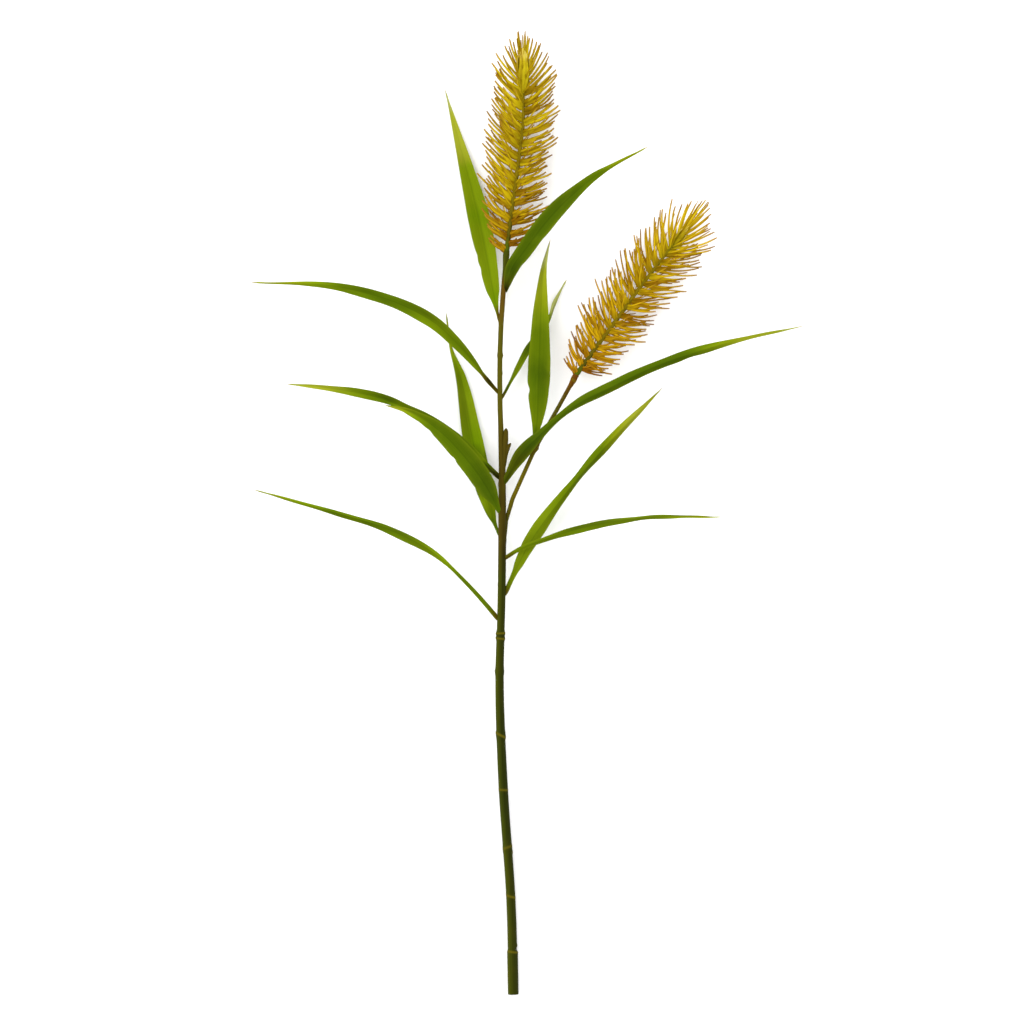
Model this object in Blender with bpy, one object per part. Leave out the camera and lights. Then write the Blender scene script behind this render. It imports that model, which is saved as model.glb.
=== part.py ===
"""Bristle grass: one flowering shoot, cut near the ground and laid on a surface.

The shoot lies along +Y with its cut end towards -Y, and +Z is up. The leaves and spikes are set out as they
hang when the shoot is looked at from the front, which is from above here. Every length below is in
millimetres and is turned into metres as a mesh is made. The finished cutting is moved so that its bounding
box is centred on the origin in X and Y and its lowest point is at z = 0.
"""

from dataclasses import dataclass

import bmesh
import bpy
import numpy as np
from mathutils.bvhtree import BVHTree

MM = 0.001
GAP = 0.3  # clearance between two pieces that grow from one another

# Driving dimensions.
STEM_SIDES = 10
BRANCH_SIDES = 8
STEP_ALONG = 22.0  # longest stretch of stem between two rings
LEAF_RINGS = 22
LEAF_CROWDING = 1.25  # how much closer a blade's rings are near its root than near its tip
LEAF_THICK = 0.9
LEAF_EDGE_THICK = 0.4
PETIOLE_THICK = 1.6
KEEL_FOLD = 13.0  # degrees that each half of a blade rises from its midrib
WHORLS = 20
TUFTS_IN_WHORL = 4
TUFT_REACH = 31.0
TUFT_SEGMENTS = 3
SPIKE_CORE = 2.2  # radius of the stalk inside a spike
SETTLE = 4.0  # height under which bristles bend away from the surface
SPRING_SEED = 11

# Stems: points (x, y, z) that the axis passes through, and (y, radius) along it. The shoot rises slowly
# from its cut end, which rests on the surface, to the spikes, which rest on their bristles.
STEM_ROUTE = (
    (6.0, 0.0, 4.2), (4.5, 65.0, 5.5), (-1.5, 155.0, 7.5), (-4.0, 230.0, 9.5), (-2.5, 290.0, 11.0),
    (-2.0, 360.0, 13.0), (-2.2, 392.0, 14.0), (-3.5, 425.0, 15.0), (-3.4, 478.0, 17.0), (1.2, 544.0, 19.5),
)
STEM_GIRTH = (
    (0.0, 4.0), (31.0, 4.0), (32.5, 3.5), (70.0, 3.5), (103.0, 3.5), (104.5, 3.7), (112.0, 3.5), (150.0, 3.5),
    (186.0, 3.3), (190.0, 3.7), (194.0, 3.3), (232.0, 3.2), (237.0, 3.6), (241.0, 3.2), (258.0, 3.1),
    (260.5, 3.5), (264.5, 3.5), (267.0, 3.0), (318.0, 3.0), (360.0, 2.9), (385.0, 2.6), (398.0, 2.3),
    (406.0, 2.0), (450.0, 1.9), (465.0, 1.9), (467.0, 2.2), (470.0, 1.9), (530.0, 1.9), (540.0, 2.5),
    (544.0, 2.3),
)
# The side stem starts behind the main stem, hugs its right side and then leans away from it.
BRANCH_ROUTE = (
    (0.3, 333.0, 8.6), (0.4, 340.0, 8.5), (1.0, 347.0, 8.9), (2.9, 354.5, 10.9), (5.3, 362.0, 13.2),
    (11.5, 376.0, 14.8), (22.5, 400.0, 16.0), (36.0, 424.0, 17.5), (47.0, 444.0, 18.7), (52.5, 454.0, 19.4),
)
BRANCH_GIRTH = (
    (333.0, 0.6), (337.0, 1.1), (347.0, 1.4), (362.0, 1.6), (396.0, 1.5), (400.0, 2.1), (404.0, 1.6),
    (430.0, 1.5), (444.0, 1.6), (450.0, 2.3), (454.0, 2.1),
)
# A side shoot that was cut off short, beside the stem.
STUB_ROUTE = ((-0.6, 388.0, 14.6), (0.2, 400.0, 15.8), (0.8, 414.0, 16.6))
STUB_GIRTH = ((388.0, 1.5), (393.0, 1.9), (400.0, 2.0), (411.0, 1.9), (413.2, 1.5), (414.0, 0.7))

# Spikes: their axes go on from the end of the stem that carries them.
MAIN_SPIKE_ROUTE = ((7.0, 588.0, 21.0), (13.0, 637.0, 21.5), (13.0, 683.0, 21.5))
SIDE_SPIKE_ROUTE = ((79.0, 490.0, 20.5), (104.0, 524.0, 21.0), (132.0, 559.0, 21.0))


@dataclass(frozen=True)
class Leaf:
    """A blade whose midrib leaves its stem and passes through the points of its route to its tip."""

    name: str
    parent: str
    height: float  # y of the place where it leaves the stem
    bearing: float  # degrees round the stem: 0 right, 90 up, 180 left
    route: tuple[tuple[float, float, float], ...]
    widths: tuple[tuple[float, float], ...]  # share of the length, and the width there
    petiole: float = 0.10  # share of the length over which the stalk thins into a blade
    roll: tuple[float, ...] = (0.0,)  # degrees of twist, evenly spaced from root to tip
    colour: tuple[float, float, float] = (0.10, 0.16, 0.006)


LEAVES = (
    Leaf("leaf_01", "stem", 276, 175,
         ((-11, 282, 13.5), (-26, 299, 19), (-49.5, 321.5, 25), (-85, 340.5, 27.5), (-127, 353.5, 22),
          (-183, 369, 1.2)),
         ((0, 3.4), (0.24, 2.9), (0.31, 4.7), (0.40, 7.6), (0.50, 7), (0.60, 5.3), (0.80, 3.5), (0.90, 2.1),
          (1, 0.6)),
         petiole=0.24, roll=(0, 38, 30), colour=(0.11, 0.15, 0.008)),
    Leaf("leaf_02", "stem", 295, -15,
         ((6.5, 307.5, 10.7), (17, 328, 12.2), (42.3, 363.6, 14.7), (80, 407.6, 14.7), (114, 442.5, 9)),
         ((0, 3.6), (0.07, 3.5), (0.12, 7), (0.20, 10), (0.30, 11.6), (0.43, 9.3), (0.54, 8.8), (0.65, 9.8),
          (0.74, 8.8), (0.83, 6), (0.92, 3.6), (1, 0.6)),
         petiole=0.07, roll=(8, 20, 56, 40, 35), colour=(0.15, 0.23, 0.008)),
    Leaf("leaf_03", "stem", 320, 15,
         ((9.5, 325.3, 16), (33, 334.6, 22), (66.2, 344, 25), (100.5, 349, 22), (158, 349.3, 1.2)),
         ((0, 3.2), (0.08, 3.2), (0.22, 5), (0.33, 7.5), (0.43, 9), (0.54, 7), (0.64, 5.1), (0.79, 4.4),
          (0.89, 2.7), (1, 0.6)),
         petiole=0.08, roll=(-20, -54, -50), colour=(0.10, 0.15, 0.005)),
    Leaf("leaf_04", "stem", 338, 200,
         ((-9.7, 350.7, 9.6), (-14.5, 367.5, 8.1), (-24, 408, 5.6), (-32.8, 453, 4.1), (-39.7, 473.5, 3.8),
          (-42.8, 497, 3.5)),
         ((0, 2.2), (0.04, 2.6), (0.09, 7), (0.19, 12), (0.31, 14.4), (0.44, 14.5), (0.61, 10.9), (0.72, 7.3),
          (0.80, 3.8), (0.86, 1.9), (1, 0.9)),
         petiole=0.04, colour=(0.17, 0.25, 0.008)),
    Leaf("leaf_05", "stem", 354, 140,
         ((-10.5, 366, 27), (-28, 391.5, 49.5), (-51, 414.5, 58), (-68.5, 425, 51), (-85.5, 430, 36)),
         ((0, 3.4), (0.06, 5.5), (0.12, 9.8), (0.18, 13.5), (0.28, 15.4), (0.40, 15.6), (0.50, 14.6),
          (0.59, 12.9), (0.67, 10), (0.76, 6.3), (0.85, 3.8), (0.92, 2.4), (1, 0.6)),
         petiole=0.06, roll=(0, -8, 0), colour=(0.10, 0.16, 0.006)),
    Leaf("leaf_06", "stem", 376, 40,
         ((9.5, 391.5, 20), (29, 412, 26), (54, 431.7, 30.7), (76.7, 443, 32.6), (106, 457, 32.4),
          (148.5, 471.8, 26.8), (218, 489, 1.2)),
         ((0, 4), (0.04, 6.5), (0.07, 10), (0.11, 10.4), (0.14, 8.8), (0.18, 7), (0.27, 7.3), (0.31, 9.3),
          (0.38, 10.2), (0.44, 9.8), (0.54, 7.3), (0.65, 8.9), (0.72, 6.7), (0.81, 4.3), (0.91, 2.5),
          (1, 0.6)),
         petiole=0.03, roll=(0, 20, 52, 40, 35, 30, 35, 40, 42), colour=(0.08, 0.13, 0.004)),
    Leaf("leaf_07", "stem", 379, 170,
         ((-14, 387.5, 16.5), (-31.5, 403, 20.3), (-58, 421, 23.3), (-91, 436, 21.8), (-126.5, 443, 14),
          (-158.5, 446.5, 1.2)),
         ((0, 3.8), (0.07, 4), (0.13, 6.5), (0.21, 8.6), (0.35, 9.3), (0.50, 8.7), (0.61, 7.9), (0.72, 6.4),
          (0.82, 4.2), (0.91, 2.7), (1, 0.6)),
         petiole=0.12, roll=(0, 18, 20), colour=(0.12, 0.18, 0.006)),
    Leaf("leaf_08", "branch", 400, 165,
         ((22.6, 412.7, 18.6), (24.5, 447.5, 20.6), (25.5, 478, 21), (26.6, 509, 19.3),
          (29, 534.5, 15), (32.5, 549.5, 12)),
         ((0, 2.2), (0.04, 2.8), (0.09, 5.9), (0.15, 9.8), (0.22, 14), (0.32, 16.5), (0.42, 16.2),
          (0.52, 14.2), (0.63, 12), (0.73, 8.9), (0.82, 5.8), (0.90, 3.4), (1, 0.7)),
         petiole=0.05, roll=(0, 0, 10), colour=(0.17, 0.25, 0.010)),
    Leaf("leaf_09", "stem", 437, -25,
         ((4.7, 449, 12.3), (18.3, 473.5, 8.2), (32, 493.5, 5.3), (37, 507.5, 3.8), (44, 521, 2.5)),
         ((0, 2), (0.14, 2.3), (0.24, 4.2), (0.34, 5.4), (0.43, 5.8), (0.58, 5.3), (0.69, 2.9), (0.84, 3),
          (1, 0.6)),
         petiole=0.06, roll=(0, 35, 20), colour=(0.10, 0.16, 0.006)),
    Leaf("leaf_10", "stem", 441, 160,
         ((-12, 448, 19.5), (-32.7, 473, 28.5), (-51.8, 490.8, 33.5), (-69.5, 500.8, 35.3),
          (-115, 515.4, 30.4), (-184.5, 521, 1.2)),
         ((0, 2.6), (0.05, 3.4), (0.08, 2.8), (0.13, 5.2), (0.21, 7.9), (0.30, 9.5), (0.37, 10.2), (0.50, 8.7),
          (0.59, 8), (0.66, 6.4), (0.75, 4.5), (0.83, 2.8), (1, 0.6)),
         petiole=0.08, roll=(0, 20, 20), colour=(0.11, 0.17, 0.006)),
    Leaf("leaf_11", "stem", 494, 195,
         ((-9, 515.5, 13.3), (-14.4, 545, 9.8), (-20, 571.5, 7.5), (-28, 603, 5.3), (-43.5, 660.5, 2.5)),
         ((0, 2), (0.03, 2.3), (0.08, 5.4), (0.13, 10.4), (0.21, 12.9), (0.30, 15), (0.38, 16.2), (0.46, 16),
          (0.55, 13.8), (0.65, 11), (0.76, 7.5), (0.86, 4.3), (0.94, 1.9), (1, 0.6)),
         petiole=0.05, colour=(0.20, 0.28, 0.012)),
    Leaf("leaf_12", "stem", 516, 35,
         ((5, 529.5, 27), (14.5, 543, 34), (36.5, 570.3, 42.4), (61.5, 593.3, 41.4), (102.5, 618, 22)),
         ((0, 3.6), (0.06, 7.4), (0.10, 9.8), (0.20, 11.7), (0.37, 13.3), (0.45, 13), (0.53, 11), (0.59, 8.8),
          (0.68, 6.4), (0.78, 3.6), (1, 0.6)),
         petiole=0.05, roll=(0, 12, 10), colour=(0.07, 0.11, 0.003)),
)


def clear_scene():
    for thing in list(bpy.data.objects):
        bpy.data.objects.remove(thing, do_unlink=True)


def unit(vectors):
    return vectors / np.linalg.norm(vectors, axis=-1, keepdims=True)


def smooth(at, marks, values):
    """Values at the given places on a smooth curve through (marks, values): a Hermite cubic on each span."""
    marks = np.asarray(marks, float)
    values = np.asarray(values, float)
    slopes = np.gradient(values, marks, axis=0)
    span_index = np.clip(np.searchsorted(marks, at, side="right") - 1, 0, len(marks) - 2)
    span = (marks[span_index + 1] - marks[span_index])[:, None]
    t = (at[:, None] - marks[span_index][:, None]) / span
    start, end = values[span_index], values[span_index + 1]
    leaving, arriving = slopes[span_index] * span, slopes[span_index + 1] * span
    blend = 3 * t**2 - 2 * t**3
    return start + (end - start) * blend + leaving * (t - 2 * t**2 + t**3) + arriving * (t**3 - t**2)


def frames(centres):
    """Tangent, level sideways and upward directions at each point of a line."""
    tangents = unit(np.gradient(centres, axis=0))
    sides = unit(np.cross(tangents, (0.0, 0.0, 1.0)))
    return tangents, sides, np.cross(sides, tangents)


class Axis:
    """A stem's centre line, found by its height y up the shoot, with the radius there."""

    def __init__(self, route, girth):
        self.route = np.array(route, float)
        self.girth = np.array(girth, float)

    def centres(self, heights):
        across = smooth(heights, self.route[:, 1], self.route[:, [0, 2]])
        return np.column_stack([across[:, 0], heights, across[:, 1]])

    def radii(self, heights):
        return np.interp(heights, self.girth[:, 0], self.girth[:, 1])

    def heights(self):
        """The girth's own stations, with more between any two that are far apart."""
        stations = [self.girth[0, 0]]
        for below, above in zip(self.girth[:-1, 0], self.girth[1:, 0]):
            pieces = max(1, int(np.ceil((above - below) / STEP_ALONG)))
            stations.extend(np.linspace(below, above, pieces + 1)[1:])
        return np.array(stations)

    def onward(self):
        """The point just past the axis's far end, where whatever goes on from it begins."""
        ends = self.centres(self.girth[-1, 0] - np.array([1.0, 0.5, 0.0]))
        return tuple(ends[-1] + unit(ends[-1] - ends[0]) * 2 * GAP)

    def surface(self, height, bearing):
        """A point just clear of the stem's surface, and the direction that points straight out there."""
        near = self.centres(np.array([height - 1.0, height, height + 1.0]))
        _, side, up = (direction[1] for direction in frames(near))
        turn = np.radians(bearing)
        outward = np.cos(turn) * side + np.sin(turn) * up
        return near[1] + outward * (self.radii(height) + GAP), outward


class Skin:
    """The points and faces of one closed surface, built up ring by ring."""

    def __init__(self):
        self.points = []
        self.faces = []

    def ring(self, points):
        first = len(self.points)
        self.points.extend(map(tuple, points))
        return list(range(first, len(self.points)))

    def quads(self, lower, upper):
        """The four-sided faces that join two rings of the same length."""
        count = len(lower)
        return [(lower[i], lower[(i + 1) % count], upper[(i + 1) % count], upper[i]) for i in range(count)]

    def wall(self, lower, upper):
        self.faces.extend(self.quads(lower, upper))

    def point_cap(self, ring, point):
        (peak,) = self.ring([point])
        self.faces.extend((ring[i], ring[(i + 1) % len(ring)], peak) for i in range(len(ring)))

    def made(self, name, colour, roughness):
        """The surface as an object in metres, its faces turned outwards, with its own material."""
        mesh = bpy.data.meshes.new(name)
        mesh.from_pydata([tuple(c * MM for c in point) for point in self.points], [], self.faces)
        work = bmesh.new()
        work.from_mesh(mesh)
        bmesh.ops.recalc_face_normals(work, faces=work.faces)
        work.to_mesh(mesh)
        work.free()
        mesh.shade_smooth()
        mesh.set_sharp_from_angle(angle=np.radians(50.0))
        piece = bpy.data.objects.new(name, mesh)
        bpy.context.scene.collection.objects.link(piece)
        piece.data.materials.append(plain_material(name, colour, roughness))
        return piece


def plain_material(name, colour, roughness):
    material = bpy.data.materials.new(name)
    material.use_nodes = True
    shader = material.node_tree.nodes["Principled BSDF"]
    shader.inputs["Base Color"].default_value = (*colour, 1.0)
    shader.inputs["Roughness"].default_value = roughness
    shader.inputs["Metallic"].default_value = 0.0
    return material


def round_rings(centres, radii, sides):
    """Rings of points round a line."""
    _, across, up = frames(centres)
    turns = np.arange(sides) * 2 * np.pi / sides
    spokes = (
        np.cos(turns)[None, :, None] * across[:, None, :] + np.sin(turns)[None, :, None] * up[:, None, :]
    )
    return centres[:, None, :] + spokes * radii[:, None, None]


def stem_piece(name, axis, sides, colour):
    """A stem of round rings with a flat cut at both ends."""
    heights = axis.heights()
    rings = round_rings(axis.centres(heights), axis.radii(heights), sides)
    skin = Skin()
    loops = [skin.ring(ring) for ring in rings]
    for lower, upper in zip(loops[:-1], loops[1:]):
        skin.wall(lower, upper)
    skin.faces.append(tuple(reversed(loops[0])))
    skin.faces.append(tuple(loops[-1]))
    return skin.made(name, colour, 0.55)


def fuse(piece, addition):
    """Grows the addition into the piece as one solid."""
    addition.hide_render = True
    addition.display_type = "WIRE"
    union = piece.modifiers.new("grown together", "BOOLEAN")
    union.operation = "UNION"
    union.object = addition


def leaf_rings(leaf, root, outward):
    """Six-sided rings of a blade folded along its midrib, the first cut flat against the stem."""
    controls = np.array([root, *leaf.route], float)
    marks = np.append(0.0, np.cumsum(np.linalg.norm(np.diff(controls, axis=0), axis=1)))
    marks /= marks[-1]
    along = np.linspace(0.0, 1.0, LEAF_RINGS + 1)[:-1] ** LEAF_CROWDING
    spine = smooth(along, marks, controls)
    tangents, sides, ups = frames(spine)
    tangents[0] = unit(spine[1] - spine[0])
    roll = np.radians(np.interp(along, np.linspace(0.0, 1.0, len(leaf.roll)), leaf.roll))[:, None]
    across = np.cos(roll) * sides + np.sin(roll) * ups
    above = np.cos(roll) * ups - np.sin(roll) * sides
    half = 0.5 * np.interp(along, *zip(*leaf.widths))[:, None]
    lift = half * np.tan(np.radians(KEEL_FOLD)) * np.clip(along / 0.2, 0.0, 1.0)[:, None]
    stages = (0.0, leaf.petiole, 1.0)
    thick = np.interp(along, stages, (PETIOLE_THICK, LEAF_THICK, 0.7 * LEAF_THICK))[:, None] / 2
    edge = np.interp(along, stages, (0.6 * PETIOLE_THICK, LEAF_EDGE_THICK, LEAF_EDGE_THICK))[:, None] / 2
    rings = np.stack([
        spine - across * half + above * (lift + edge),
        spine + above * thick,
        spine + across * half + above * (lift + edge),
        spine + across * half + above * (lift - edge),
        spine - above * thick,
        spine - across * half + above * (lift - edge),
    ], axis=1)
    beyond = (rings[0] - root) @ outward / (tangents[0] @ outward)
    rings[0] -= beyond[:, None] * tangents[0]
    return rings


def leaf_piece(leaf, axes):
    """One blade as a closed solid that ends in a point."""
    root, outward = axes[leaf.parent].surface(leaf.height, leaf.bearing)
    skin = Skin()
    loops = [skin.ring(ring) for ring in leaf_rings(leaf, root, outward)]
    for lower, upper in zip(loops[:-1], loops[1:]):
        skin.wall(lower, upper)
    skin.faces.append(tuple(reversed(loops[0])))
    skin.point_cap(loops[-1], leaf.route[-1])
    return skin.made(leaf.name, leaf.colour, 0.5)


def settled(points):
    """Points near the surface bent up off it, so that what hangs lowest lies along it."""
    points = np.array(points, float)
    height = points[..., 2]
    points[..., 2] = np.where(height < SETTLE, SETTLE * np.exp(np.minimum(height / SETTLE, 1.0) - 1.0), height)
    return points


class Spike:
    """A bottle-brush head: a thin stalk with whorls of curved tufts fused to it."""

    LEAN = ((0.0, 80.0), (0.08, 72.0), (0.25, 62.0), (0.7, 54.0), (0.9, 40.0), (1.0, 20.0))
    SIDE_LEAN = 6.0  # degrees more on the right of the spike, and less on its left
    LENGTH = ((0.0, 0.42), (0.08, 0.6), (0.2, 0.85), (0.35, 0.95), (0.7, 1.0), (0.9, 0.95), (1.0, 0.85))
    CURL = 26.0  # degrees that a tuft bends towards the spike's tip along its length
    TUFT_WIDTHS = (1.35, 1.0, 0.45)  # half widths across a tuft at the end of each segment
    TUFT_DEPTHS = (0.6, 0.42, 0.25)
    STEPS = 8  # short straight steps that a tuft's curve is summed over

    def __init__(self, carrier, route, seed):
        route = (carrier.onward(), *route)
        self.heights = (route[0][1], route[-1][1])
        self.axis = Axis(route, ((route[0][1], SPIKE_CORE), (route[-1][1], SPIKE_CORE * 0.35)))
        self.spring = np.random.default_rng(seed)
        self.skin = Skin()
        self.obstacles = []

    def tuft_curve(self, share, root, radial, forward, shorten):
        """Points along a tuft: it starts out at its lean from the axis and curls towards the spike's tip."""
        right = unit(np.cross(forward, (0.0, 0.0, 1.0)))
        lean = np.interp(share, *zip(*self.LEAN)) + self.SIDE_LEAN * (radial @ right) + 0.5 * self.CURL
        length = TUFT_REACH * np.interp(share, *zip(*self.LENGTH)) * shorten
        steps = (np.arange(self.STEPS) + 0.5) / self.STEPS
        angles = np.radians(lean - self.CURL * steps)[:, None]
        moves = (np.sin(angles) * radial + np.cos(angles) * forward) * length / self.STEPS
        curve = root + np.concatenate([[np.zeros(3)], np.cumsum(moves, axis=0)])
        marks = np.linspace(0, self.STEPS, TUFT_SEGMENTS + 1).round().astype(int)
        return curve[marks]

    def blocked(self, curve):
        """Whether a tuft on this curve would come too near a leaf."""
        steps = curve[1:] - curve[:-1]
        between = np.concatenate([curve[:-1] + steps * share for share in (0.34, 0.67, 1.0)])
        return any(
            obstacle.find_nearest(tuple(point * MM), 2.2 * MM)[0] is not None
            for obstacle in self.obstacles
            for point in settled(between)
        )

    def grow_tuft(self, quad, share, centre, forward):
        """Replaces one face of the stalk with a tapering tuft that starts on the face's own corners."""
        corners = np.array([self.skin.points[i] for i in quad])
        root = corners.mean(axis=0)
        radial = root - centre
        radial = unit(radial - forward * (radial @ forward))
        sway = unit(np.cross(forward, radial))
        radial = unit(radial + sway * self.spring.uniform(-0.16, 0.16))
        vigour = self.spring.uniform(0.92, 1.03)
        for shorten in (1.0, 0.85, 0.7, 0.55, 0.4, 0.25):
            curve = self.tuft_curve(share, root, radial, forward, vigour * shorten)
            if not self.blocked(curve):
                break
        else:
            self.skin.faces.append(quad)
            return
        directions = unit(np.gradient(curve, axis=0))
        across = unit(np.cross(forward, radial))
        signs = np.sign((corners - root) @ across), np.sign((corners - root) @ forward)
        below = list(quad)
        for k in range(1, TUFT_SEGMENTS + 1):
            normal = np.cross(across, directions[k])
            normal = normal * np.sign(normal @ forward)
            offsets = (
                signs[0][:, None] * across * self.TUFT_WIDTHS[k - 1]
                + signs[1][:, None] * normal * self.TUFT_DEPTHS[k - 1]
            )
            ring = self.skin.ring(settled(curve[k] + offsets))
            self.skin.wall(below, ring)
            below = ring
        self.skin.faces.append(tuple(below))

    def piece(self, name, colour, obstacles):
        """The whole spike as one closed solid."""
        self.obstacles = obstacles
        sides = 2 * TUFTS_IN_WHORL
        low, high = self.heights
        rooted = 0.45  # share of each whorl's height from which its tufts grow
        stations = np.concatenate([[k, k + rooted] for k in range(WHORLS)]) / WHORLS
        heights = low + (high - low) * np.append(stations, 1.0)
        centres = self.axis.centres(heights)
        forwards = frames(centres)[0]
        loops = [self.skin.ring(ring) for ring in round_rings(centres, self.axis.radii(heights), sides)]
        for band, (lower, upper) in enumerate(zip(loops[:-1], loops[1:])):
            whorl, between = divmod(band, 2)
            for j, quad in enumerate(self.skin.quads(lower, upper)):
                if between or (j + whorl) % 2:
                    self.skin.faces.append(quad)
                else:
                    self.grow_tuft(quad, whorl / (WHORLS - 1), centres[band], forwards[band])
        self.skin.faces.append(tuple(reversed(loops[0])))
        self.skin.point_cap(loops[-1], centres[-1] + forwards[-1] * 9.0)
        return self.skin.made(name, colour, 0.6)


def set_down(pieces):
    """Moves the cutting so that its box is centred on the origin and it rests on z = 0."""
    bpy.context.view_layer.update()
    graph = bpy.context.evaluated_depsgraph_get()
    corners = np.array([
        tuple(vertex.co) for piece in pieces for vertex in piece.evaluated_get(graph).data.vertices
    ])
    lowest, highest = corners.min(axis=0), corners.max(axis=0)
    middle = (lowest + highest) / 2
    for piece in pieces:
        piece.location = (-middle[0], -middle[1], -lowest[2])


def tree_of(piece):
    return BVHTree.FromPolygons([v.co for v in piece.data.vertices], [f.vertices for f in piece.data.polygons])


def main():
    clear_scene()
    axes = {"stem": Axis(STEM_ROUTE, STEM_GIRTH), "branch": Axis(BRANCH_ROUTE, BRANCH_GIRTH)}
    stem = stem_piece("main_stem", axes["stem"], STEM_SIDES, (0.06, 0.05, 0.004))
    branch = stem_piece("side_branch", axes["branch"], BRANCH_SIDES, (0.13, 0.12, 0.006))
    stub = stem_piece("cut_side_shoot", Axis(STUB_ROUTE, STUB_GIRTH), BRANCH_SIDES, (0.055, 0.044, 0.002))
    fuse(stem, stub)
    leaves = [leaf_piece(leaf, axes) for leaf in LEAVES]
    obstacles = [tree_of(piece) for piece in leaves]
    spikes = [
        Spike(axes["stem"], MAIN_SPIKE_ROUTE, SPRING_SEED).piece("main_spike", (0.40, 0.25, 0.01), obstacles),
        Spike(axes["branch"], SIDE_SPIKE_ROUTE, SPRING_SEED + 1).piece(
            "side_spike", (0.40, 0.23, 0.015), obstacles
        ),
    ]
    set_down([stem, branch, *leaves, *spikes])
    stub.location = stem.location


main()
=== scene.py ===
"""Bristle grass: the fine form and the finish of one cut flowering shoot, laid on a pale table.

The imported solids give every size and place. Lengths are in millimetres from the shoot's own origin, which
lies on the table under its cut end: x to the right, y up the shoot and z up off the table. They become
metres in the frame only when a surface is made into a piece. An along is a share of a length from the root
(0) to the tip (1), and an across is a share of a half width from the left edge (-1) to the right edge (1).
"""

import logging
from collections.abc import Mapping, Sequence
from dataclasses import dataclass, field, replace
from enum import Enum
from typing import Any

import bpy
import numpy as np
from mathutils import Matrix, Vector


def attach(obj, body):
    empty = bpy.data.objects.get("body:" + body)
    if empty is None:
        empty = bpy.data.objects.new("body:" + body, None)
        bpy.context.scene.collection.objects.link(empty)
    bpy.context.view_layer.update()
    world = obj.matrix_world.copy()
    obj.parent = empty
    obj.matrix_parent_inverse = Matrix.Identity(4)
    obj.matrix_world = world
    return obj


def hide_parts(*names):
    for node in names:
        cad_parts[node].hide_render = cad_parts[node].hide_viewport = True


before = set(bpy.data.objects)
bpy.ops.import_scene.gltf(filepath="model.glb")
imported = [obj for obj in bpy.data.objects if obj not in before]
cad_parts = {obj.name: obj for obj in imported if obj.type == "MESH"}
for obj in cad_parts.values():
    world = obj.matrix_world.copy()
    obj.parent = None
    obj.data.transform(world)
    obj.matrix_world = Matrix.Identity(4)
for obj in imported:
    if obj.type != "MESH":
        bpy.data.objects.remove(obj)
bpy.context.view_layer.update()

log = logging.getLogger("bristle grass")
Array = np.ndarray
Point = tuple[float, float, float]
Route = tuple[Point, ...]
Colour = tuple[float, float, float]
Stops = Sequence[tuple[float, Colour]]
Pairs = tuple[tuple[float, float], ...]  # places, each with the value there

MM = 0.001
CUT_END = np.array([6.0, 0.0, 4.2])  # the middle of the stem's cut end, from the shoot's origin
UP = np.array([0.0, 0.0, 1.0])
CREASE = np.radians(55.0)  # a sharper edge than this stays sharp
LEAST_RISE = 0.02  # an edge that rises less isn't cut across
CUT_DEPTH = 0.5  # how far up from the lowest corner the cut end's corners lie
GOLDEN_ANGLE = np.pi * (3.0 - np.sqrt(5.0))


# ---------------------------------------------------------------- shapes in numbers


def unit(vectors: Array) -> Array:
    """Vectors divided by their own lengths."""
    return vectors / np.linalg.norm(vectors, axis=-1, keepdims=True)


def smooth(at: Array, marks: Array, values: Array) -> Array:
    """Values on a smooth curve through given marks: a Hermite cubic on each span between two marks.

    Args:
        at: The places where values are wanted.
        marks: The places where values are known, rising.
        values: The known values, one row for each mark.

    Returns:
        One row of values for each place.
    """
    slopes = np.gradient(values, marks, axis=0)
    low = np.clip(np.searchsorted(marks, at, side="right") - 1, 0, len(marks) - 2)
    span = (marks[low + 1] - marks[low])[:, None]
    t = (at[:, None] - marks[low][:, None]) / span
    blend = 3 * t**2 - 2 * t**3
    pull = slopes[low] * span * (t - 2 * t**2 + t**3) + slopes[low + 1] * span * (t**3 - t**2)
    return values[low] + (values[low + 1] - values[low]) * blend + pull


def bell(values: Array, middle: float, width: float) -> Array:
    """A smooth hump that is 1 at its middle and falls to 0 about two widths away."""
    return np.exp(-(((values - middle) / width) ** 2))


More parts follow.
